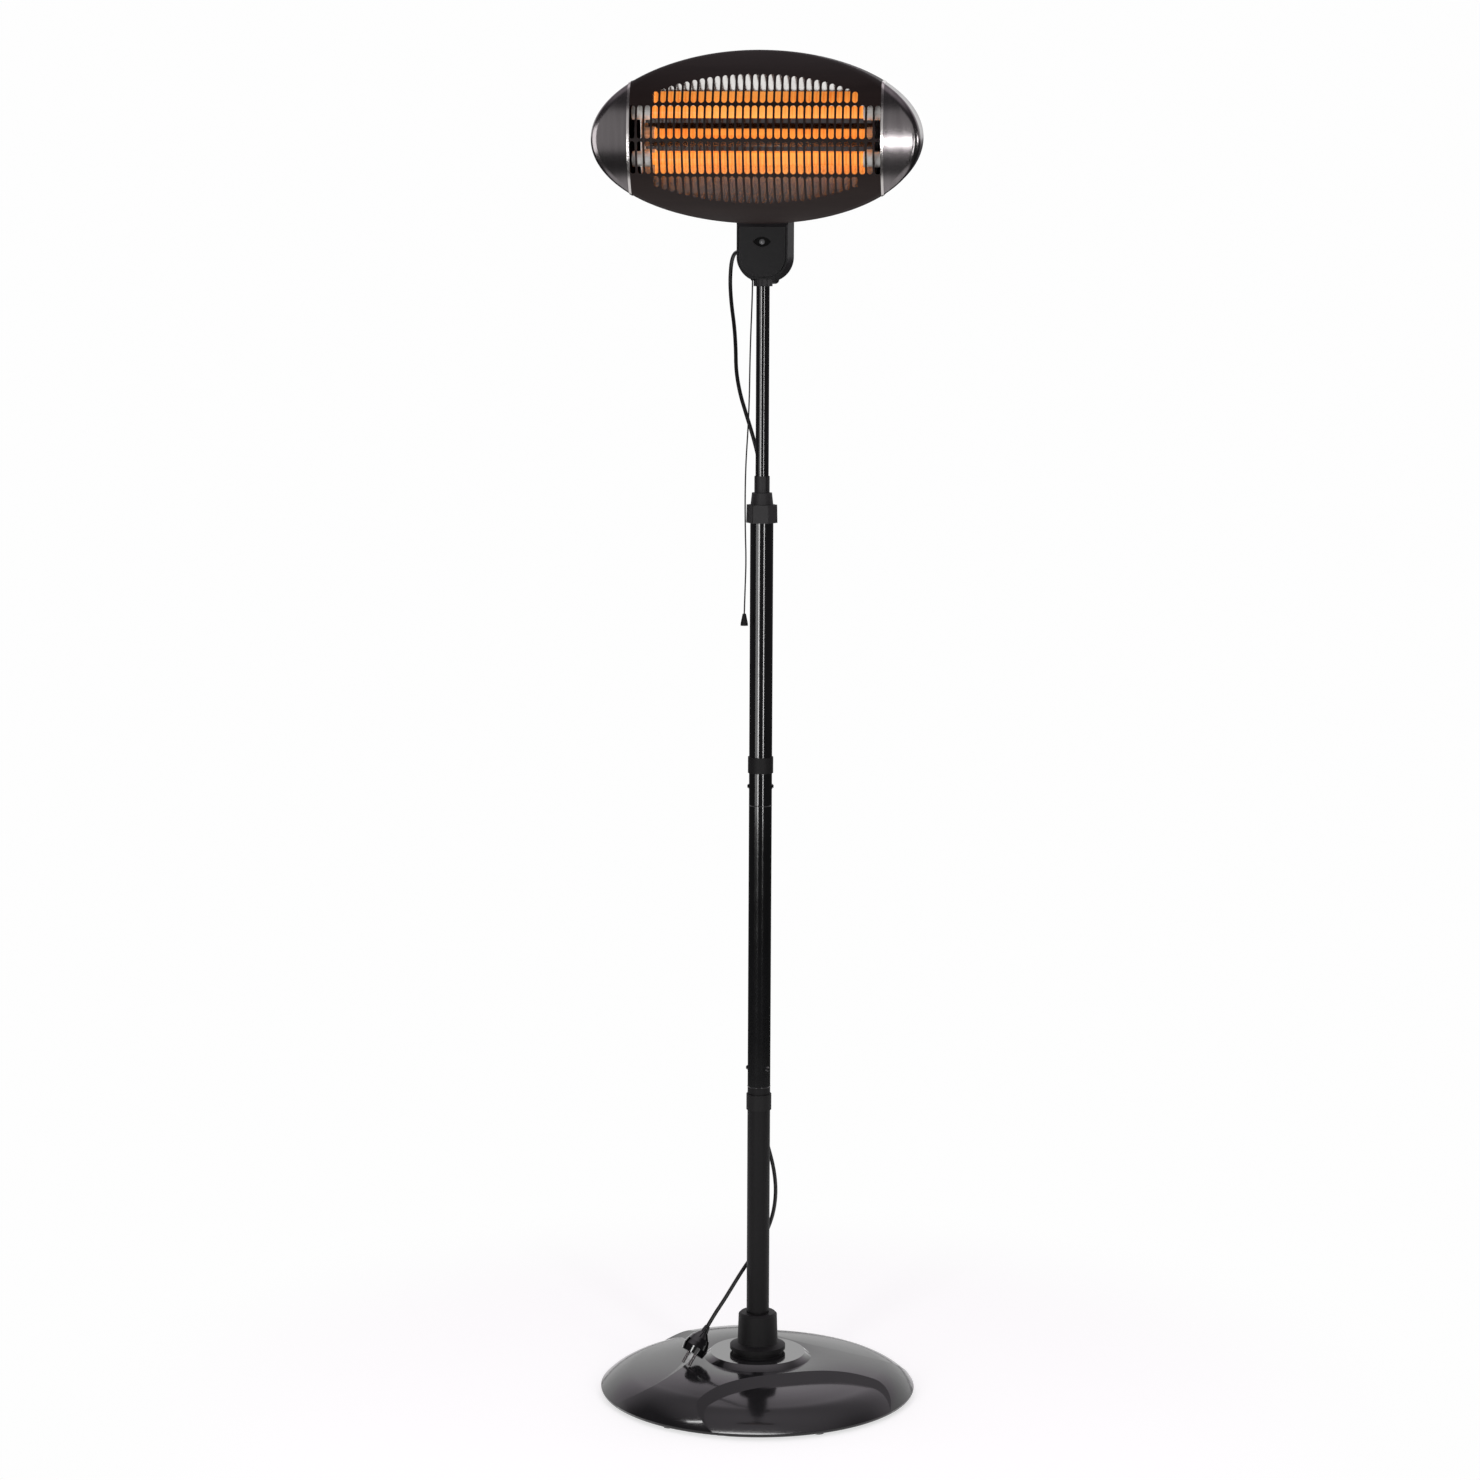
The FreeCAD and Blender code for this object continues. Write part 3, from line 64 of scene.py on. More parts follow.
# Finish of each surface: the two tones of its colour patches, the range of its roughness,
# the scale and depth of its grain, and what isn't as surface() has it
SURFACES = {
    "enamel": dict(dark=(0.006, 0.0057, 0.0063), light=(0.010, 0.0095, 0.0105), rough=(0.10, 0.18),
                   grain=900.0, depth=0.01, specular=0.36),
    "gloss_paint": dict(dark=(0.004, 0.004, 0.0045), light=(0.007, 0.007, 0.0075), rough=(0.13, 0.17),
                        grain=40.0, depth=0.01, coat=0.5, coat_rough=0.06),
    "satin_paint": dict(dark=(0.0055, 0.005, 0.0056), light=(0.008, 0.0075, 0.0082), rough=(0.45, 0.6),
                        grain=1500.0, depth=0.12, specular=0.22),
    "panel_paint": dict(dark=(0.018, 0.0105, 0.0095), light=(0.024, 0.0145, 0.013), rough=(0.42, 0.55),
                        grain=500.0, depth=0.06, stretch=(1.0, 8.0, 8.0), specular=0.2),
    "gunmetal": dict(dark=(0.15, 0.137, 0.14), light=(0.20, 0.184, 0.188), rough=(0.20, 0.26),
                     grain=420.0, depth=0.02, metallic=1.0, stretch=(10.0, 1.0, 1.0)),
    "trim": dict(dark=(0.45, 0.42, 0.41), light=(0.6, 0.57, 0.56), rough=(0.12, 0.25),
                 grain=600.0, depth=0.03, metallic=1.0),
    "reflector": dict(dark=(0.74, 0.72, 0.70), light=(0.84, 0.82, 0.80), rough=(0.05, 0.10),
                      grain=250.0, depth=0.015, metallic=1.0, stretch=(1.0, 6.0, 6.0)),
    "bright_sheet": dict(dark=(0.66, 0.63, 0.61), light=(0.78, 0.75, 0.73), rough=(0.25, 0.4),
                         grain=500.0, depth=0.05, metallic=0.4),
    "steel": dict(dark=(0.42, 0.42, 0.43), light=(0.58, 0.58, 0.59), rough=(0.25, 0.42),
                  grain=800.0, depth=0.06, metallic=1.0),
    "plastic": dict(dark=(0.0065, 0.006, 0.0066), light=(0.0095, 0.009, 0.0096), rough=(0.5, 0.66),
                    grain=1800.0, depth=0.2, specular=0.28),
    "grey_plastic": dict(dark=(0.021, 0.0195, 0.021), light=(0.028, 0.026, 0.028), rough=(0.5, 0.66),
                         grain=1800.0, depth=0.2),
    "box_plastic": dict(dark=(0.006, 0.0055, 0.0062), light=(0.0085, 0.0078, 0.0087), rough=(0.36, 0.48),
                        grain=1600.0, depth=0.15, specular=0.26),
    # Near-black, nearly unreflecting finish of the eye sheet: painted shade in the recess
    "painted_recess_shade": dict(dark=(0.001, 0.001, 0.001), light=(0.002, 0.002, 0.002), rough=(0.3, 0.4),
                      grain=1600.0, depth=0.05, specular=0.08),
    "rubber": dict(dark=(0.015, 0.015, 0.015), light=(0.022, 0.022, 0.022), rough=(0.7, 0.85),
                   grain=900.0, depth=0.3),
    "cord": dict(dark=(0.006, 0.006, 0.006), light=(0.010, 0.010, 0.010), rough=(0.36, 0.5),
                 grain=1200.0, depth=0.12),
    "cement": dict(dark=(0.36, 0.35, 0.33), light=(0.5, 0.49, 0.46), rough=(0.8, 0.95),
                   grain=300.0, depth=0.6, patch=40.0),
    "lens": dict(dark=(0.16, 0.16, 0.165), light=(0.22, 0.22, 0.225), rough=(0.05, 0.1),
                 grain=300.0, depth=0.02, coat=1.0),
    "ceramic": dict(dark=(0.84, 0.82, 0.79), light=(0.92, 0.91, 0.88), rough=(0.5, 0.65),
                    grain=700.0, depth=0.15, patch=60.0),
    "coil": dict(dark=(0.3, 0.25, 0.22), light=(0.4, 0.33, 0.3), rough=(0.5, 0.7),
                 grain=600.0, depth=0.4, metallic=1.0),
}
PATCH_DETAIL = 4.0
GRAIN_DETAIL = 2.0
GRAIN_DISTANCE = 0.0004

# Middle of the base, in metres, and the clear coat inside and outside it
PLATEAU_RADIUS = 0.074
POLISH_FADE = 0.01
PLATEAU_COATS = (0.8, 0.1)

# Heights between which the reflector turns hazy, in metres, and how metallic it is there
HAZE_CLEAR_Z = 1.895
HAZE_FULL_Z = 1.885
HAZE_METALLIC = 0.85

# Quartz tubes: their tones, their patches and the bands of the wire inside
QUARTZ_ROUGHNESS = 0.25
QUARTZ_TONES = ((0.6, 0.2, 0.05), (0.7, 0.3, 0.1))
QUARTZ_PATCHES = 14.0
QUARTZ_DETAIL = 2.0
GLOW_TONES = ((0.76, 0.15, 0.014), (0.97, 0.35, 0.062))
WIRE_BANDS = 60.0
WIRE_WAVER = 0.6
WIRE_SHARE = 0.3

# How strongly the tubes glow, and what is added where they light the parts round them
GLOW_STRENGTH = 1.0
GLOW_ON_PARTS = 5.0

# Braid of the pull cord
BRAID_TONES = ((0.006, 0.006, 0.006), (0.02, 0.02, 0.02))
BRAID_BANDS = 500.0
BRAID_DEPTH = 0.5
BRAID_DISTANCE = 0.0003
BRAID_ROUGHNESS = 0.55

# Cords, diameters in metres and routes in millimetres
CORD_DIAMETER = 0.006
PULL_DIAMETER = 0.0022
METRES_PER_MILLIMETRE = 0.001
UPPER_ROUTE = [
    (-39, 52.5, 1761), (-49, 70, 1760.5), (-56, 85, 1751.1), (-60, 97, 1734.3), (-61, 100, 1708.4),
    (-58, 94, 1678.7), (-52.5, 84, 1648.2), (-49, 74, 1615.4), (-47.5, 65, 1581.4), (-40.5, 56, 1547.5),
    (-30, 48, 1517), (-19, 42, 1485), (-9.5, 37, 1451.4), (-3, 34, 1411.8), (0.5, 32.5, 1368.3),
    (2.5, 32, 1320.3), (3.5, 31, 1269.2), (2.5, 29, 1215), (0.5, 27.5, 1161.7), (-1.5, 26, 1110.6),
    (-1, 24.5, 1064.1), (0, 23.5, 1023), (0, 23.5, 998.8)]
LOWER_ROUTE = [
    (0, 23.5, 448.5), (0, 23.5, 424), (6, 24, 402.8), (14.5, 24.5, 375.7), (22, 25.5, 344.2),
    (25, 26, 311.4), (21.5, 26.5, 278.2), (12, 27.2, 249.1), (-1, 26.5, 223.7), (-15, 19, 202.1),
    (-28, 5, 183.5), (-40, -8.5, 164.2), (-52.5, -18.5, 144), (-64, -29, 127.4), (-74.1, -36.9, 110)]
PULL_ROUTE = [
    (-14.5, -12, 1738.5), (-14.5, -12, 1710.9), (-15, -15.5, 1678.6), (-16, -20, 1638.8),
    (-17, -21, 1593.5), (-17.5, -21, 1544.1), (-19.5, -20.5, 1495.2), (-22.5, -20, 1446.8),
    (-23.5, -19.5, 1397.9), (-23, -19.5, 1347.5), (-21.5, -19, 1299.1), (-23, -18.5, 1255.3),
    (-24, -18.5, 1219)]
CURVE_ORDER = 3
CURVE_STEPS = 8
BEVEL_STEPS = 4
LEAD_SIDES = 14

# Rolled edges at the joints of the pole, in metres
JOINT_HEIGHTS = {"lower_joint_bead": 0.485, "upper_joint_bead": 0.924}
TUBE_RADIUS = 0.0175
BEAD_RADIUS = 0.0008
BEAD_SINK_SHARE = 0.5
BEAD_STEPS = 96
BEAD_SIDES = 12

# Painted shade: a dark sheet on the floor of the eye-shaped recess stands in for the shade there; its size
# and place in metres
EYE_HALF_WIDTH = 0.0135
EYE_HALF_HEIGHT = 0.0075
EYE_INSET_SHARE = 0.985
EYE_FLOOR_Y = -0.0179
EYE_Z = 1.776
EYE_STEPS = 64
LENS_ROOM = 0.0043

# Camera, in metres and degrees, round the pole's axis; lens and sensor in millimetres
CAMERA_AZIMUTH = 6.0
CAMERA_DISTANCE = 5.524
CAMERA_HEIGHT = 1.817
CAMERA_PITCH = 8.17
CAMERA_YAW = 0.327
CAMERA_ROLL = 0.25
CAMERA_REACH = 100.0
CAMERA_LENS = 89.15
SENSOR_WIDTH = 36.0

# Background as the camera sees it: white, and round the object a floor that glows less and takes shadows,
# between two distances in metres
WHITE_TONE = 0.99
FLOOR_BASE_TONE = 0.64
SHADOW_SHARE = 0.6
SHADOW_NEAR = 0.5
SHADOW_FAR = 1.1

# Floor as light sees it, and gloss further out: pale within one distance, dark beyond the other, in metres
FLOOR_SIZE = 14.0
FLOOR_DROP = 0.0005
FLOOR_NEAR = 1.4
FLOOR_FAR = 2.0
FLOOR_NEAR_TONE = (0.78, 0.78, 0.78)
FLOOR_FAR_TONE = (0.03, 0.03, 0.03)

# Studio as light and gloss see it
STUDIO_DIM = (0.062, 0.058, 0.063)
SWEEP_TONE = (0.90, 0.83, 0.90)
CEILING_TONE = (0.90, 0.83, 0.90)

# Where each part of the studio begins and is full, as Y or Z of the direction towards it
BEHIND_Y = (0.1, 0.6)
ABOVE_GROUND_Z = (0.0, 0.05)
BELOW_TOP_Z = (1.0, 0.4)
NEAR_GROUND_Z = (0.45, 0.3)
OVERHEAD_Z = (0.65, 1.0)

# Lamps: place and target, width and height in metres, power in watts
POLE_MIDDLE = (0.0, 0.0, 1.075)
HEAD_MIDDLE = (0.0, 0.0, 1.9)
LAMPS = {
    "left_strip": ((-0.98, -2.84, 1.075), POLE_MIDDLE, 0.45, 1.35, 24.0),
    "right_strip": ((1.55, -2.57, 1.075), POLE_MIDDLE, 0.28, 1.35, 18.5),
    "left_wide": ((-1.72, -2.46, 1.075), POLE_MIDDLE, 1.75, 1.35, 17.0),
    "left_wall": ((-2.7, -1.27, 1.7), (-0.2, 0.0, 1.9), 3.2, 2.2, 90.0),
    "right_side": ((3.0, -0.6, 1.8), HEAD_MIDDLE, 0.8, 0.45, 16.0),
    "cap_light": ((0.05, -3.1, 1.43), (0.2, 0.0, 1.9), 0.4, 0.46, 15.0),
    "front_fill": ((0.0, -5.0, 1.9), HEAD_MIDDLE, 7.0, 5.0, 65.0),
    "rim_light": ((-0.55, -1.15, 3.0), (-0.55, -1.15, 0.0), 3.3, 0.2, 46.0),
}

# Nodes that a lamp is kept to (INCLUDE) or kept off (EXCLUDE)
END_CAPS = ["end_cap_left", "end_cap_right", "seam_trim_left", "seam_trim_right"]
HEAD_FACES = END_CAPS + ["front_panel", "rear_shell"]
TUBE_ENDS = ["ceramic_ends", "tube_holder_left", "tube_holder_right"]
BOX_FACES = ["box_front", "box_rear", "neck_collar"]
GLOSS_TUBES = ["inner_tube", "upper_tube", "middle_tube"]
FLAGS = {
    "left_strip": (["end_cap_left"], "EXCLUDE"),
    "left_wall": (["end_cap_left", "seam_trim_left"], "INCLUDE"),
    "front_fill": (END_CAPS + TUBE_ENDS, "INCLUDE"),
    "rim_light": (["base_dish"], "INCLUDE"),
    "right_side": (HEAD_FACES + BOX_FACES, "INCLUDE"),
    "left_wide": (GLOSS_TUBES, "INCLUDE"),
    "cap_light": (["end_cap_right", "seam_trim_right"], "INCLUDE"),
}


def new_material(name):
    """Empty node material; returns the material, its tree, its shader and its coordinates."""
    material = bpy.data.materials.new(name)
    material.use_nodes = True
    tree = material.node_tree
    shader = tree.nodes["Principled BSDF"]
    coords = tree.nodes.new("ShaderNodeTexCoord").outputs["Object"]
    return material, tree, shader, coords


def noise(tree, coords, scale, detail, stretch=None):
    """Noise over the coordinates, which a stretch makes finer along some axes."""
    if stretch:
        mapping = tree.nodes.new("ShaderNodeMapping")
        mapping.inputs["Scale"].default_value = stretch
        tree.links.new(coords, mapping.inputs["Vector"])
        coords = mapping.outputs["Vector"]
    node = tree.nodes.new("ShaderNodeTexNoise")
    node.inputs["Scale"].default_value = scale
    node.inputs["Detail"].default_value = detail
    tree.links.new(coords, node.inputs["Vector"])
    return node.outputs["Fac"]


def bands(tree, coords, direction, scale, waver=0.0):
    """Even bands across a direction of the coordinates."""
    node = tree.nodes.new("ShaderNodeTexWave")
    node.bands_direction = direction
    node.inputs["Scale"].default_value = scale
    node.inputs["Distortion"].default_value = waver
    tree.links.new(coords, node.inputs["Vector"])
    return node.outputs["Fac"]


def spread(tree, value, low, high, start=0.3, end=0.7):
    """Maps a noise, or another value between start and end, to the given range."""
    node = tree.nodes.new("ShaderNodeMapRange")
    node.inputs["From Min"].default_value = start
    node.inputs["From Max"].default_value = end
    node.inputs["To Min"].default_value = low
    node.inputs["To Max"].default_value = high
    tree.links.new(value, node.inputs["Value"])
    return node.outputs["Result"]


def ramp_value(tree, value, start, end):
    """Smooth step of a value from 0 at the start to 1 at the end."""
    node = tree.nodes.new("ShaderNodeMapRange")
    node.interpolation_type = "SMOOTHSTEP"
    node.inputs["From Min"].default_value = start
    node.inputs["From Max"].default_value = end
    tree.links.new(value, node.inputs["Value"])
    return node.outputs["Result"]


def two_tone(tree, value, dark, light, start=0.3, end=0.7):
    """Goes from the dark to the light tone as the value goes from start to end."""
    ramp = tree.nodes.new("ShaderNodeValToRGB")
    ramp.color_ramp.elements[0].position = start
    ramp.color_ramp.elements[1].position = end
    ramp.color_ramp.elements[0].color = (*dark, 1.0)
    ramp.color_ramp.elements[1].color = (*light, 1.0)
    tree.links.new(value, ramp.inputs["Fac"])
    return ramp.outputs["Color"]


def combined(tree, operation, one, other):
    """Sum or product of two values between 0 and 1."""
    node = tree.nodes.new("ShaderNodeMath")
    node.operation = operation
    node.use_clamp = True
    tree.links.new(one, node.inputs[0])
    tree.links.new(other, node.inputs[1])
    return node.outputs["Value"]


def scaled(tree, value, factor):
    """Node that multiplies a value and still takes what is added to it."""
    node = tree.nodes.new("ShaderNodeMath")
    node.operation = "MULTIPLY_ADD"
    node.inputs[1].default_value = factor
    tree.links.new(value, node.inputs[0])
    return node


def blend_tone(tree, value, colour, tone):
    """Goes from a colour to a fixed tone as the value goes from 0 to 1."""
    node = tree.nodes.new("ShaderNodeMixRGB")
    node.inputs["Color2"].default_value = (*tone, 1.0)
    tree.links.new(value, node.inputs["Fac"])
    tree.links.new(colour, node.inputs["Color1"])
    return node.outputs["Color"]


def bump(tree, shader, value, strength, distance):
    """Shades the surface as if the value raised it."""
    node = tree.nodes.new("ShaderNodeBump")
    node.inputs["Strength"].default_value = strength
    node.inputs["Distance"].default_value = distance
    tree.links.new(value, node.inputs["Height"])
    tree.links.new(node.outputs["Normal"], shader.inputs["Normal"])


def surface(name, dark, light, rough, grain, depth, metallic=0.0, coat=0.0, coat_rough=0.05, patch=9.0,
            stretch=None, specular=0.5):
    """Painted, moulded or metal surface with colour patches, uneven gloss and a fine grain."""
    material, tree, shader, coords = new_material(name)
    shader.inputs["Metallic"].default_value = metallic
    shader.inputs["Coat Weight"].default_value = coat
    shader.inputs["Coat Roughness"].default_value = coat_rough
    shader.inputs["Specular IOR Level"].default_value = specular
    patches = noise(tree, coords, patch, PATCH_DETAIL, stretch)
    tree.links.new(two_tone(tree, patches, dark, light), shader.inputs["Base Color"])
    fine = noise(tree, coords, grain, GRAIN_DETAIL, stretch)
    tree.links.new(spread(tree, fine, *rough), shader.inputs["Roughness"])
    bump(tree, shader, fine, depth, GRAIN_DISTANCE)
    return material


def polish_middle(material):
    """Gives a thick clear coat to the middle of the base and a thin one to the rest."""
    tree = material.node_tree
    shader = tree.nodes["Principled BSDF"]
    flat = tree.nodes.new("ShaderNodeVectorMath")
    flat.operation = "MULTIPLY"
    flat.inputs[1].default_value = (1.0, 1.0, 0.0)
    tree.links.new(tree.nodes["Texture Coordinate"].outputs["Object"], flat.inputs[0])
    reach = tree.nodes.new("ShaderNodeVectorMath")
    reach.operation = "LENGTH"
    tree.links.new(flat.outputs["Vector"], reach.inputs[0])
    outside = ramp_value(tree, reach.outputs["Value"], PLATEAU_RADIUS, PLATEAU_RADIUS + POLISH_FADE)
    coat = spread(tree, outside, *PLATEAU_COATS, start=0.0, end=1.0)
    tree.links.new(coat, shader.inputs["Coat Weight"])


def haze_bottom(material):
    """Dulls the lower part of the mirror, where dust lies on it."""
    tree = material.node_tree
    shader = tree.nodes["Principled BSDF"]
    parts = tree.nodes.new("ShaderNodeSeparateXYZ")
    tree.links.new(tree.nodes["Texture Coordinate"].outputs["Object"], parts.inputs["Vector"])
    level = ramp_value(tree, parts.outputs["Z"], HAZE_CLEAR_Z, HAZE_FULL_Z)
    metallic = spread(tree, level, 1.0, HAZE_METALLIC, start=0.0, end=1.0)
    tree.links.new(metallic, shader.inputs["Metallic"])


def glowing(name):
    """Frosted quartz that glows from the wire wound inside it."""
    material, tree, shader, coords = new_material(name)
    shader.inputs["Roughness"].default_value = QUARTZ_ROUGHNESS
    turns = bands(tree, coords, "X", WIRE_BANDS, WIRE_WAVER)
    patches = noise(tree, coords, QUARTZ_PATCHES, QUARTZ_DETAIL)
    heat = scaled(tree, turns, WIRE_SHARE)
    tree.links.new(patches, heat.inputs[2])
    tree.links.new(two_tone(tree, heat.outputs["Value"], *GLOW_TONES), shader.inputs["Emission Color"])
    tree.links.new(two_tone(tree, patches, *QUARTZ_TONES), shader.inputs["Base Color"])
    shader.inputs["Emission Strength"].default_value = GLOW_STRENGTH
    on_parts = tree.nodes.new("ShaderNodeLightPath").outputs["Is Diffuse Ray"]
    strength = scaled(tree, on_parts, GLOW_ON_PARTS)
    strength.inputs[2].default_value = GLOW_STRENGTH
    tree.links.new(strength.outputs["Value"], shader.inputs["Emission Strength"])
    return material


def braided(name):
    """Braided jacket of the pull cord."""
    material, tree, shader, coords = new_material(name)
    twist = bands(tree, coords, "DIAGONAL", BRAID_BANDS)
    tree.links.new(two_tone(tree, twist, *BRAID_TONES), shader.inputs["Base Color"])
    shader.inputs["Roughness"].default_value = BRAID_ROUGHNESS
    bump(tree, shader, twist, BRAID_DEPTH, BRAID_DISTANCE)
    return material


def make_materials():
    materials = {name: surface(name, **finish) for name, finish in SURFACES.items()}
    polish_middle(materials["enamel"])
    haze_bottom(materials["reflector"])
    materials["quartz"] = glowing("quartz")
    materials["pull_string"] = braided("pull_string")
    return materials


def dress_nodes(materials):
    """Gives every CAD node the finish of its slot, or its other look."""
    for entry in frame["record"]["subparts"]:
        mesh = NODES[entry["node"]].data
        mesh.materials.clear()
        mesh.materials.append(materials[OTHER_LOOKS.get(entry["node"], entry["material_slot"])])


def metres(route):
    return [Vector(point) * METRES_PER_MILLIMETRE for point in route]


def nurbs(name, points, bevel):
    """Open smooth curve along the route of a cord."""
    curve = bpy.data.curves.new(name, "CURVE")
    curve.dimensions = "3D"
    curve.resolution_u = CURVE_STEPS
    curve.bevel_depth = bevel
    curve.bevel_resolution = BEVEL_STEPS
    curve.use_fill_caps = True
    spline = curve.splines.new("NURBS")
    spline.points.add(len(points) - 1)
    for target, point in zip(spline.points, points):
        target.co = (*point, 1.0)
    spline.order_u = CURVE_ORDER
    spline.use_endpoint_u = True
    piece = bpy.data.objects.new(name, curve)
    bpy.context.collection.objects.link(piece)
    return piece


def curve_line(name, points):
    """Points along the smooth curve of a route."""
    piece = nurbs(name + "_line", points, 0.0)
    mesh = bpy.data.meshes.new_from_object(piece)
    line = [vertex.co.copy() for vertex in mesh.vertices]
    bpy.data.objects.remove(piece)
    bpy.data.meshes.remove(mesh)
    return line


def line_length(line):
    return sum((b - a).length for a, b in zip(line, line[1:]))


def mesh_object(name, vertices, faces, material, smooth=True):
    mesh = bpy.data.meshes.new(name)
    mesh.from_pydata([tuple(vertex) for vertex in vertices], [], faces)
    mesh.polygons.foreach_set("use_smooth", [smooth] * len(mesh.polygons))
    mesh.materials.append(material)
    piece = bpy.data.objects.new(name, mesh)
    bpy.context.collection.objects.link(piece)
    return piece


def tube_mesh(name, line, radius, material):
    """Closed mesh tube along a line of points."""
    vertices = []
    across = Vector((1.0, 0.0, 0.0))
    for i, point in enumerate(line):
        ahead = line[min(i + 1, len(line) - 1)] - line[max(i - 1, 0)]
        ahead.normalize()
        across = (across - ahead * across.dot(ahead)).normalized()
        up = ahead.cross(across)
        for k in range(LEAD_SIDES):
            turn = 2 * math.pi * k / LEAD_SIDES
            vertices.append(point + radius * (math.cos(turn) * across + math.sin(turn) * up))
    faces = []
    last_ring = len(vertices) - LEAD_SIDES
    for low in range(0, last_ring, LEAD_SIDES):
        high = low + LEAD_SIDES
        for k in range(LEAD_SIDES):
            after = (k + 1) % LEAD_SIDES
            faces.append((low + k, low + after, high + after, high + k))
    faces.append(tuple(reversed(range(LEAD_SIDES))))
    faces.append(tuple(range(last_ring, len(vertices))))
    return mesh_object(name, vertices, faces, material)


def make_upper_lead(materials):
    """Mains lead from the control box to the first clip, as a fixed mesh."""
    upper = metres(UPPER_ROUTE)
    line = curve_line("mains_lead_upper", upper)
    piece = tube_mesh("mains_lead_upper", line, CORD_DIAMETER / 2, materials["cord"])
    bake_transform(piece)
    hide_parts("mains_cord_upper")


def make_lower_lead(materials):
    """Mains lead from the last clip to the plug."""
    lower = metres(LOWER_ROUTE)
    piece = nurbs("mains_lead_lower", lower, CORD_DIAMETER / 2)
    piece.data.materials.append(materials["cord"])
    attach(piece, "stand")
    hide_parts("mains_cord_lower")
    line_length(curve_line("lower", lower))


def make_pull_string(materials):
    """Pull cord from the eyelet of the control box to its knob."""
    pull = metres(PULL_ROUTE)
    piece = nurbs("pull_string", pull, PULL_DIAMETER / 2)
    piece.data.materials.append(materials["pull_string"])
    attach(piece, "pull")
    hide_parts("pull_cord")
    line_length(curve_line("pull", pull))


def make_joint_bead(name, height, materials):
    """Rolled edge where two tubes of the pole meet."""
    vertices = []
    faces = []
    for i in range(BEAD_STEPS):
        turn = 2 * math.pi * i / BEAD_STEPS
        here = i * BEAD_SIDES
        along = (i + 1) % BEAD_STEPS * BEAD_SIDES
        for k in range(BEAD_SIDES):
            bend = 2 * math.pi * k / BEAD_SIDES
            reach = TUBE_RADIUS + BEAD_RADIUS * (math.cos(bend) - BEAD_SINK_SHARE)
            rise = BEAD_RADIUS * math.sin(bend)
            vertices.append((reach * math.cos(turn), reach * math.sin(turn), height + rise))
            after = (k + 1) % BEAD_SIDES
            faces.append((here + k, along + k, along + after, here + after))
    piece = mesh_object(name, vertices, faces, materials["gloss_paint"])
    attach(piece, "stand")


def make_painted_shade_sheet(materials):
    """Painted shade: a dark, nearly unreflecting sheet on the floor of the eye-shaped recess, round the
    pilot lens, standing in for the shade in the recess.
    """
    bulge = (EYE_HALF_WIDTH ** 2 - EYE_HALF_HEIGHT ** 2) / (2 * EYE_HALF_HEIGHT)
    radius = bulge + EYE_HALF_HEIGHT
    outer = []
    inner = []
    faces = []
    for i in range(EYE_STEPS):
        turn = 2 * math.pi * i / EYE_STEPS
        x = EYE_HALF_WIDTH * math.cos(turn)
        z = math.copysign(math.sqrt(radius ** 2 - x ** 2) - bulge, math.sin(turn))
        outer.append((x * EYE_INSET_SHARE, EYE_FLOOR_Y, EYE_Z + z * EYE_INSET_SHARE))
        inner.append((LENS_ROOM * math.cos(turn), EYE_FLOOR_Y, EYE_Z + LENS_ROOM * math.sin(turn)))
        after = (i + 1) % EYE_STEPS
        faces.append((i, after, EYE_STEPS + after, EYE_STEPS + i))
    piece = mesh_object("eye_recess_painted_shade_sheet", outer + inner, faces, materials["painted_recess_shade"], smooth=False)
    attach(piece, "mast")


def make_camera():
    azimuth = math.radians(CAMERA_AZIMUTH)
    right = Vector((math.cos(azimuth), math.sin(azimuth), 0.0))
    forward = Vector((-math.sin(azimuth), math.cos(azimuth), 0.0))
    yaw = math.radians(CAMERA_YAW)
    pitch = math.radians(CAMERA_PITCH)
    level = forward * math.cos(yaw) - right * math.sin(yaw)
    aim = level * math.cos(pitch) - Vector((0.0, 0.0, math.sin(pitch)))
    data = bpy.data.cameras.new("camera")
    data.sensor_width = SENSOR_WIDTH
    data.lens = CAMERA_LENS
    data.clip_end = CAMERA_REACH
    camera = bpy.data.objects.new("camera", data)
    camera.location = -forward * CAMERA_DISTANCE + Vector((0.0, 0.0, CAMERA_HEIGHT))
    roll = Quaternion((0.0, 0.0, 1.0), math.radians(CAMERA_ROLL))
    camera.rotation_euler = (aim.to_track_quat("-Z", "Y") @ roll).to_euler()
    bpy.context.collection.objects.link(camera)
    bpy.context.scene.camera = camera


def shader_mix(tree, factor, one, other):
    """Goes from one shader to the other as the factor goes from 0 to 1."""
    mix = tree.nodes.new("ShaderNodeMixShader")
    tree.links.new(factor, mix.inputs["Fac"])
    tree.links.new(one, mix.inputs[1])
    tree.links.new(other, mix.inputs[2])
    return mix.outputs["Shader"]


def as_background(tree, plain, seen, mirrored, output):
    """Shows one shader to the camera, through glass and in a mirrored stretch, else the plain one."""
    path = tree.nodes.new("ShaderNodeLightPath").outputs
    straight = combined(tree, "ADD", path["Is Camera Ray"], path["Is Transmission Ray"])
    in_gloss = combined(tree, "MULTIPLY", path["Is Glossy Ray"], mirrored)
    shown = combined(tree, "ADD", straight, in_gloss)
    tree.links.new(shader_mix(tree, shown, plain, seen), output.inputs["Surface"])


def emission(tree, tone):
    node = tree.nodes.new("ShaderNodeEmission")
    node.inputs["Color"].default_value = (tone, tone, tone, 1.0)
    return node.outputs["Emission"]


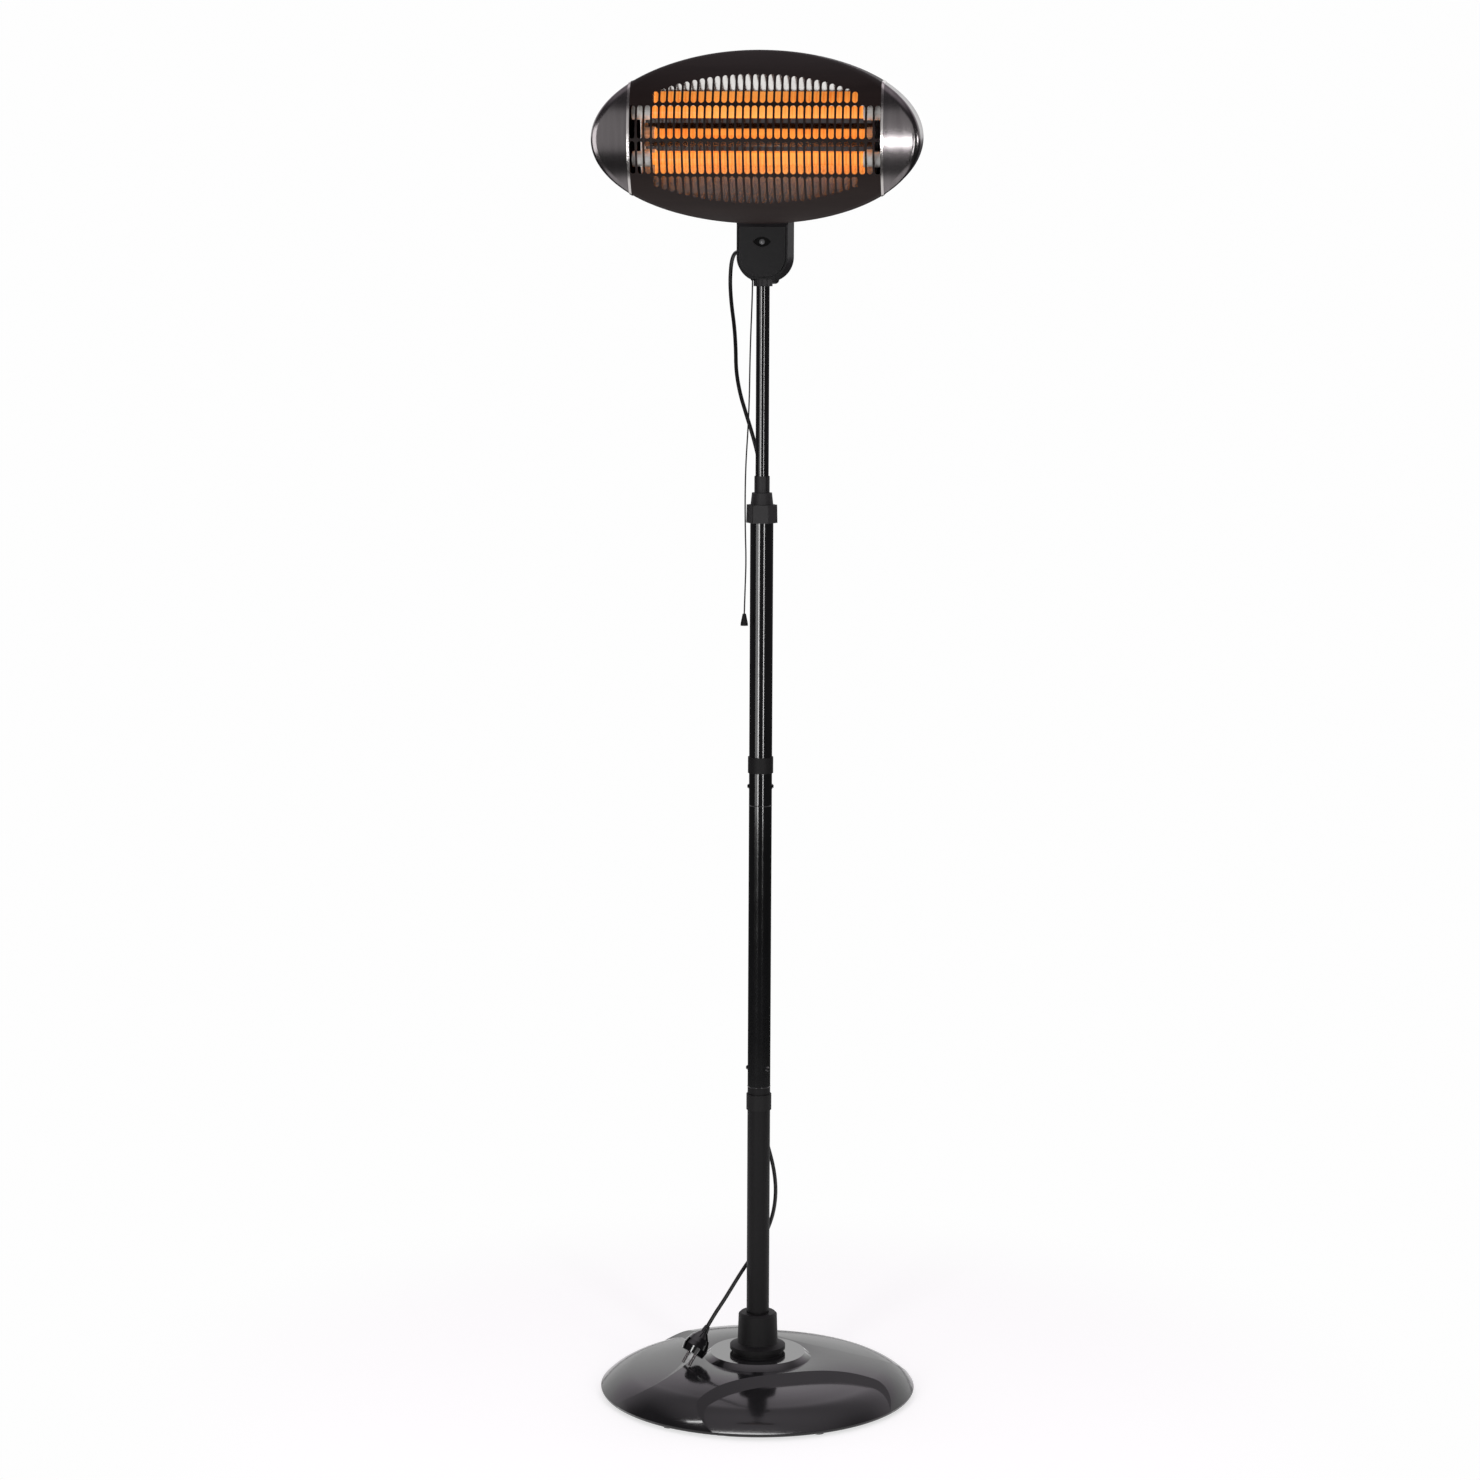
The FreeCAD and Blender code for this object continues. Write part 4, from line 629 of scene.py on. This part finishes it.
def shadow_catcher(tree, distance):
    """White floor that keeps a soft shadow close to the object."""
    lit = tree.nodes.new("ShaderNodeBsdfDiffuse")
    lit.inputs["Color"].default_value = (SHADOW_SHARE, SHADOW_SHARE, SHADOW_SHARE, 1.0)
    close = tree.nodes.new("ShaderNodeAddShader")
    tree.links.new(emission(tree, FLOOR_BASE_TONE), close.inputs[0])
    tree.links.new(lit.outputs["BSDF"], close.inputs[1])
    far = ramp_value(tree, distance, SHADOW_NEAR, SHADOW_FAR)
    return shader_mix(tree, far, close.outputs["Shader"], emission(tree, WHITE_TONE))


def make_floor():
    """White studio floor, which light and gloss see as pale near the object and dark further out."""
    bpy.ops.mesh.primitive_plane_add(size=FLOOR_SIZE, location=(0.0, 0.0, -FLOOR_DROP))
    floor = bpy.context.object
    floor.name = "floor"
    material = bpy.data.materials.new("floor")
    material.use_nodes = True
    tree = material.node_tree
    tree.nodes.remove(tree.nodes["Principled BSDF"])
    plain = tree.nodes.new("ShaderNodeEmission")
    length = tree.nodes.new("ShaderNodeVectorMath")
    length.operation = "LENGTH"
    tree.links.new(tree.nodes.new("ShaderNodeTexCoord").outputs["Object"], length.inputs[0])
    near = ramp_value(tree, length.outputs["Value"], FLOOR_FAR, FLOOR_NEAR)
    tree.links.new(two_tone(tree, near, FLOOR_FAR_TONE, FLOOR_NEAR_TONE), plain.inputs["Color"])
    seen = shadow_catcher(tree, length.outputs["Value"])
    as_background(tree, plain.outputs["Emission"], seen, near, tree.nodes["Material Output"])
    floor.data.materials.append(material)


def make_world():
    """Dim studio with a pale sweep behind and a soft ceiling; white where the camera looks at it."""
    world = bpy.data.worlds.new("studio")
    world.use_nodes = True
    tree = world.node_tree
    plain = tree.nodes["Background"]
    parts = tree.nodes.new("ShaderNodeSeparateXYZ")
    direction = tree.nodes.new("ShaderNodeTexCoord").outputs["Generated"]
    tree.links.new(direction, parts.inputs["Vector"])
    behind = ramp_value(tree, parts.outputs["Y"], *BEHIND_Y)
    above_ground = ramp_value(tree, parts.outputs["Z"], *ABOVE_GROUND_Z)
    below_top = ramp_value(tree, parts.outputs["Z"], *BELOW_TOP_Z)
    near_ground = ramp_value(tree, parts.outputs["Z"], *NEAR_GROUND_Z)
    overhead = ramp_value(tree, parts.outputs["Z"], *OVERHEAD_Z)
    wall = combined(tree, "MULTIPLY", behind, above_ground)
    backdrop = combined(tree, "MULTIPLY", wall, near_ground)
    sweep = combined(tree, "MULTIPLY", wall, below_top)
    shade = two_tone(tree, sweep, STUDIO_DIM, SWEEP_TONE, start=0.0, end=1.0)
    tree.links.new(blend_tone(tree, overhead, shade, CEILING_TONE), plain.inputs["Color"])
    white = tree.nodes.new("ShaderNodeBackground")
    white.inputs["Color"].default_value = (WHITE_TONE, WHITE_TONE, WHITE_TONE, 1.0)
    as_background(tree, plain.outputs["Background"], white.outputs["Background"], backdrop,
                  tree.nodes["World Output"])
    bpy.context.scene.world = world


def softbox(name, place, target, width, height, power):
    data = bpy.data.lights.new(name, "AREA")
    data.shape = "RECTANGLE"
    data.size = width
    data.size_y = height
    data.energy = power
    lamp = bpy.data.objects.new(name, data)
    lamp.location = place
    lamp.visible_camera = False
    lamp.rotation_euler = (Vector(target) - Vector(place)).to_track_quat("-Z", "Y").to_euler()
    bpy.context.collection.objects.link(lamp)
    return lamp


def flag(lamp, names, state):
    """Keeps the light of a lamp to the named nodes or off them, as flags do in a studio."""
    receivers = bpy.data.collections.new(lamp.name + "_receivers")
    for name in names:
        receivers.objects.link(NODES[name])
    for entry in receivers.collection_objects:
        entry.light_linking.link_state = state
    lamp.light_linking.receiver_collection = receivers


def make_lights():
    lamps = {name: softbox(name, *setting) for name, setting in LAMPS.items()}
    for name, setting in FLAGS.items():
        flag(lamps[name], *setting)


def main():
    bpy.context.scene.view_settings.view_transform = "Standard"
    materials = make_materials()
    dress_nodes(materials)
    make_upper_lead(materials)
    make_lower_lead(materials)
    make_pull_string(materials)
    for name, height in JOINT_HEIGHTS.items():
        make_joint_bead(name, height, materials)
    # Painted shade in the eye-shaped recess of the control box
    make_painted_shade_sheet(materials)
    make_camera()
    make_floor()
    make_world()
    make_lights()


main()
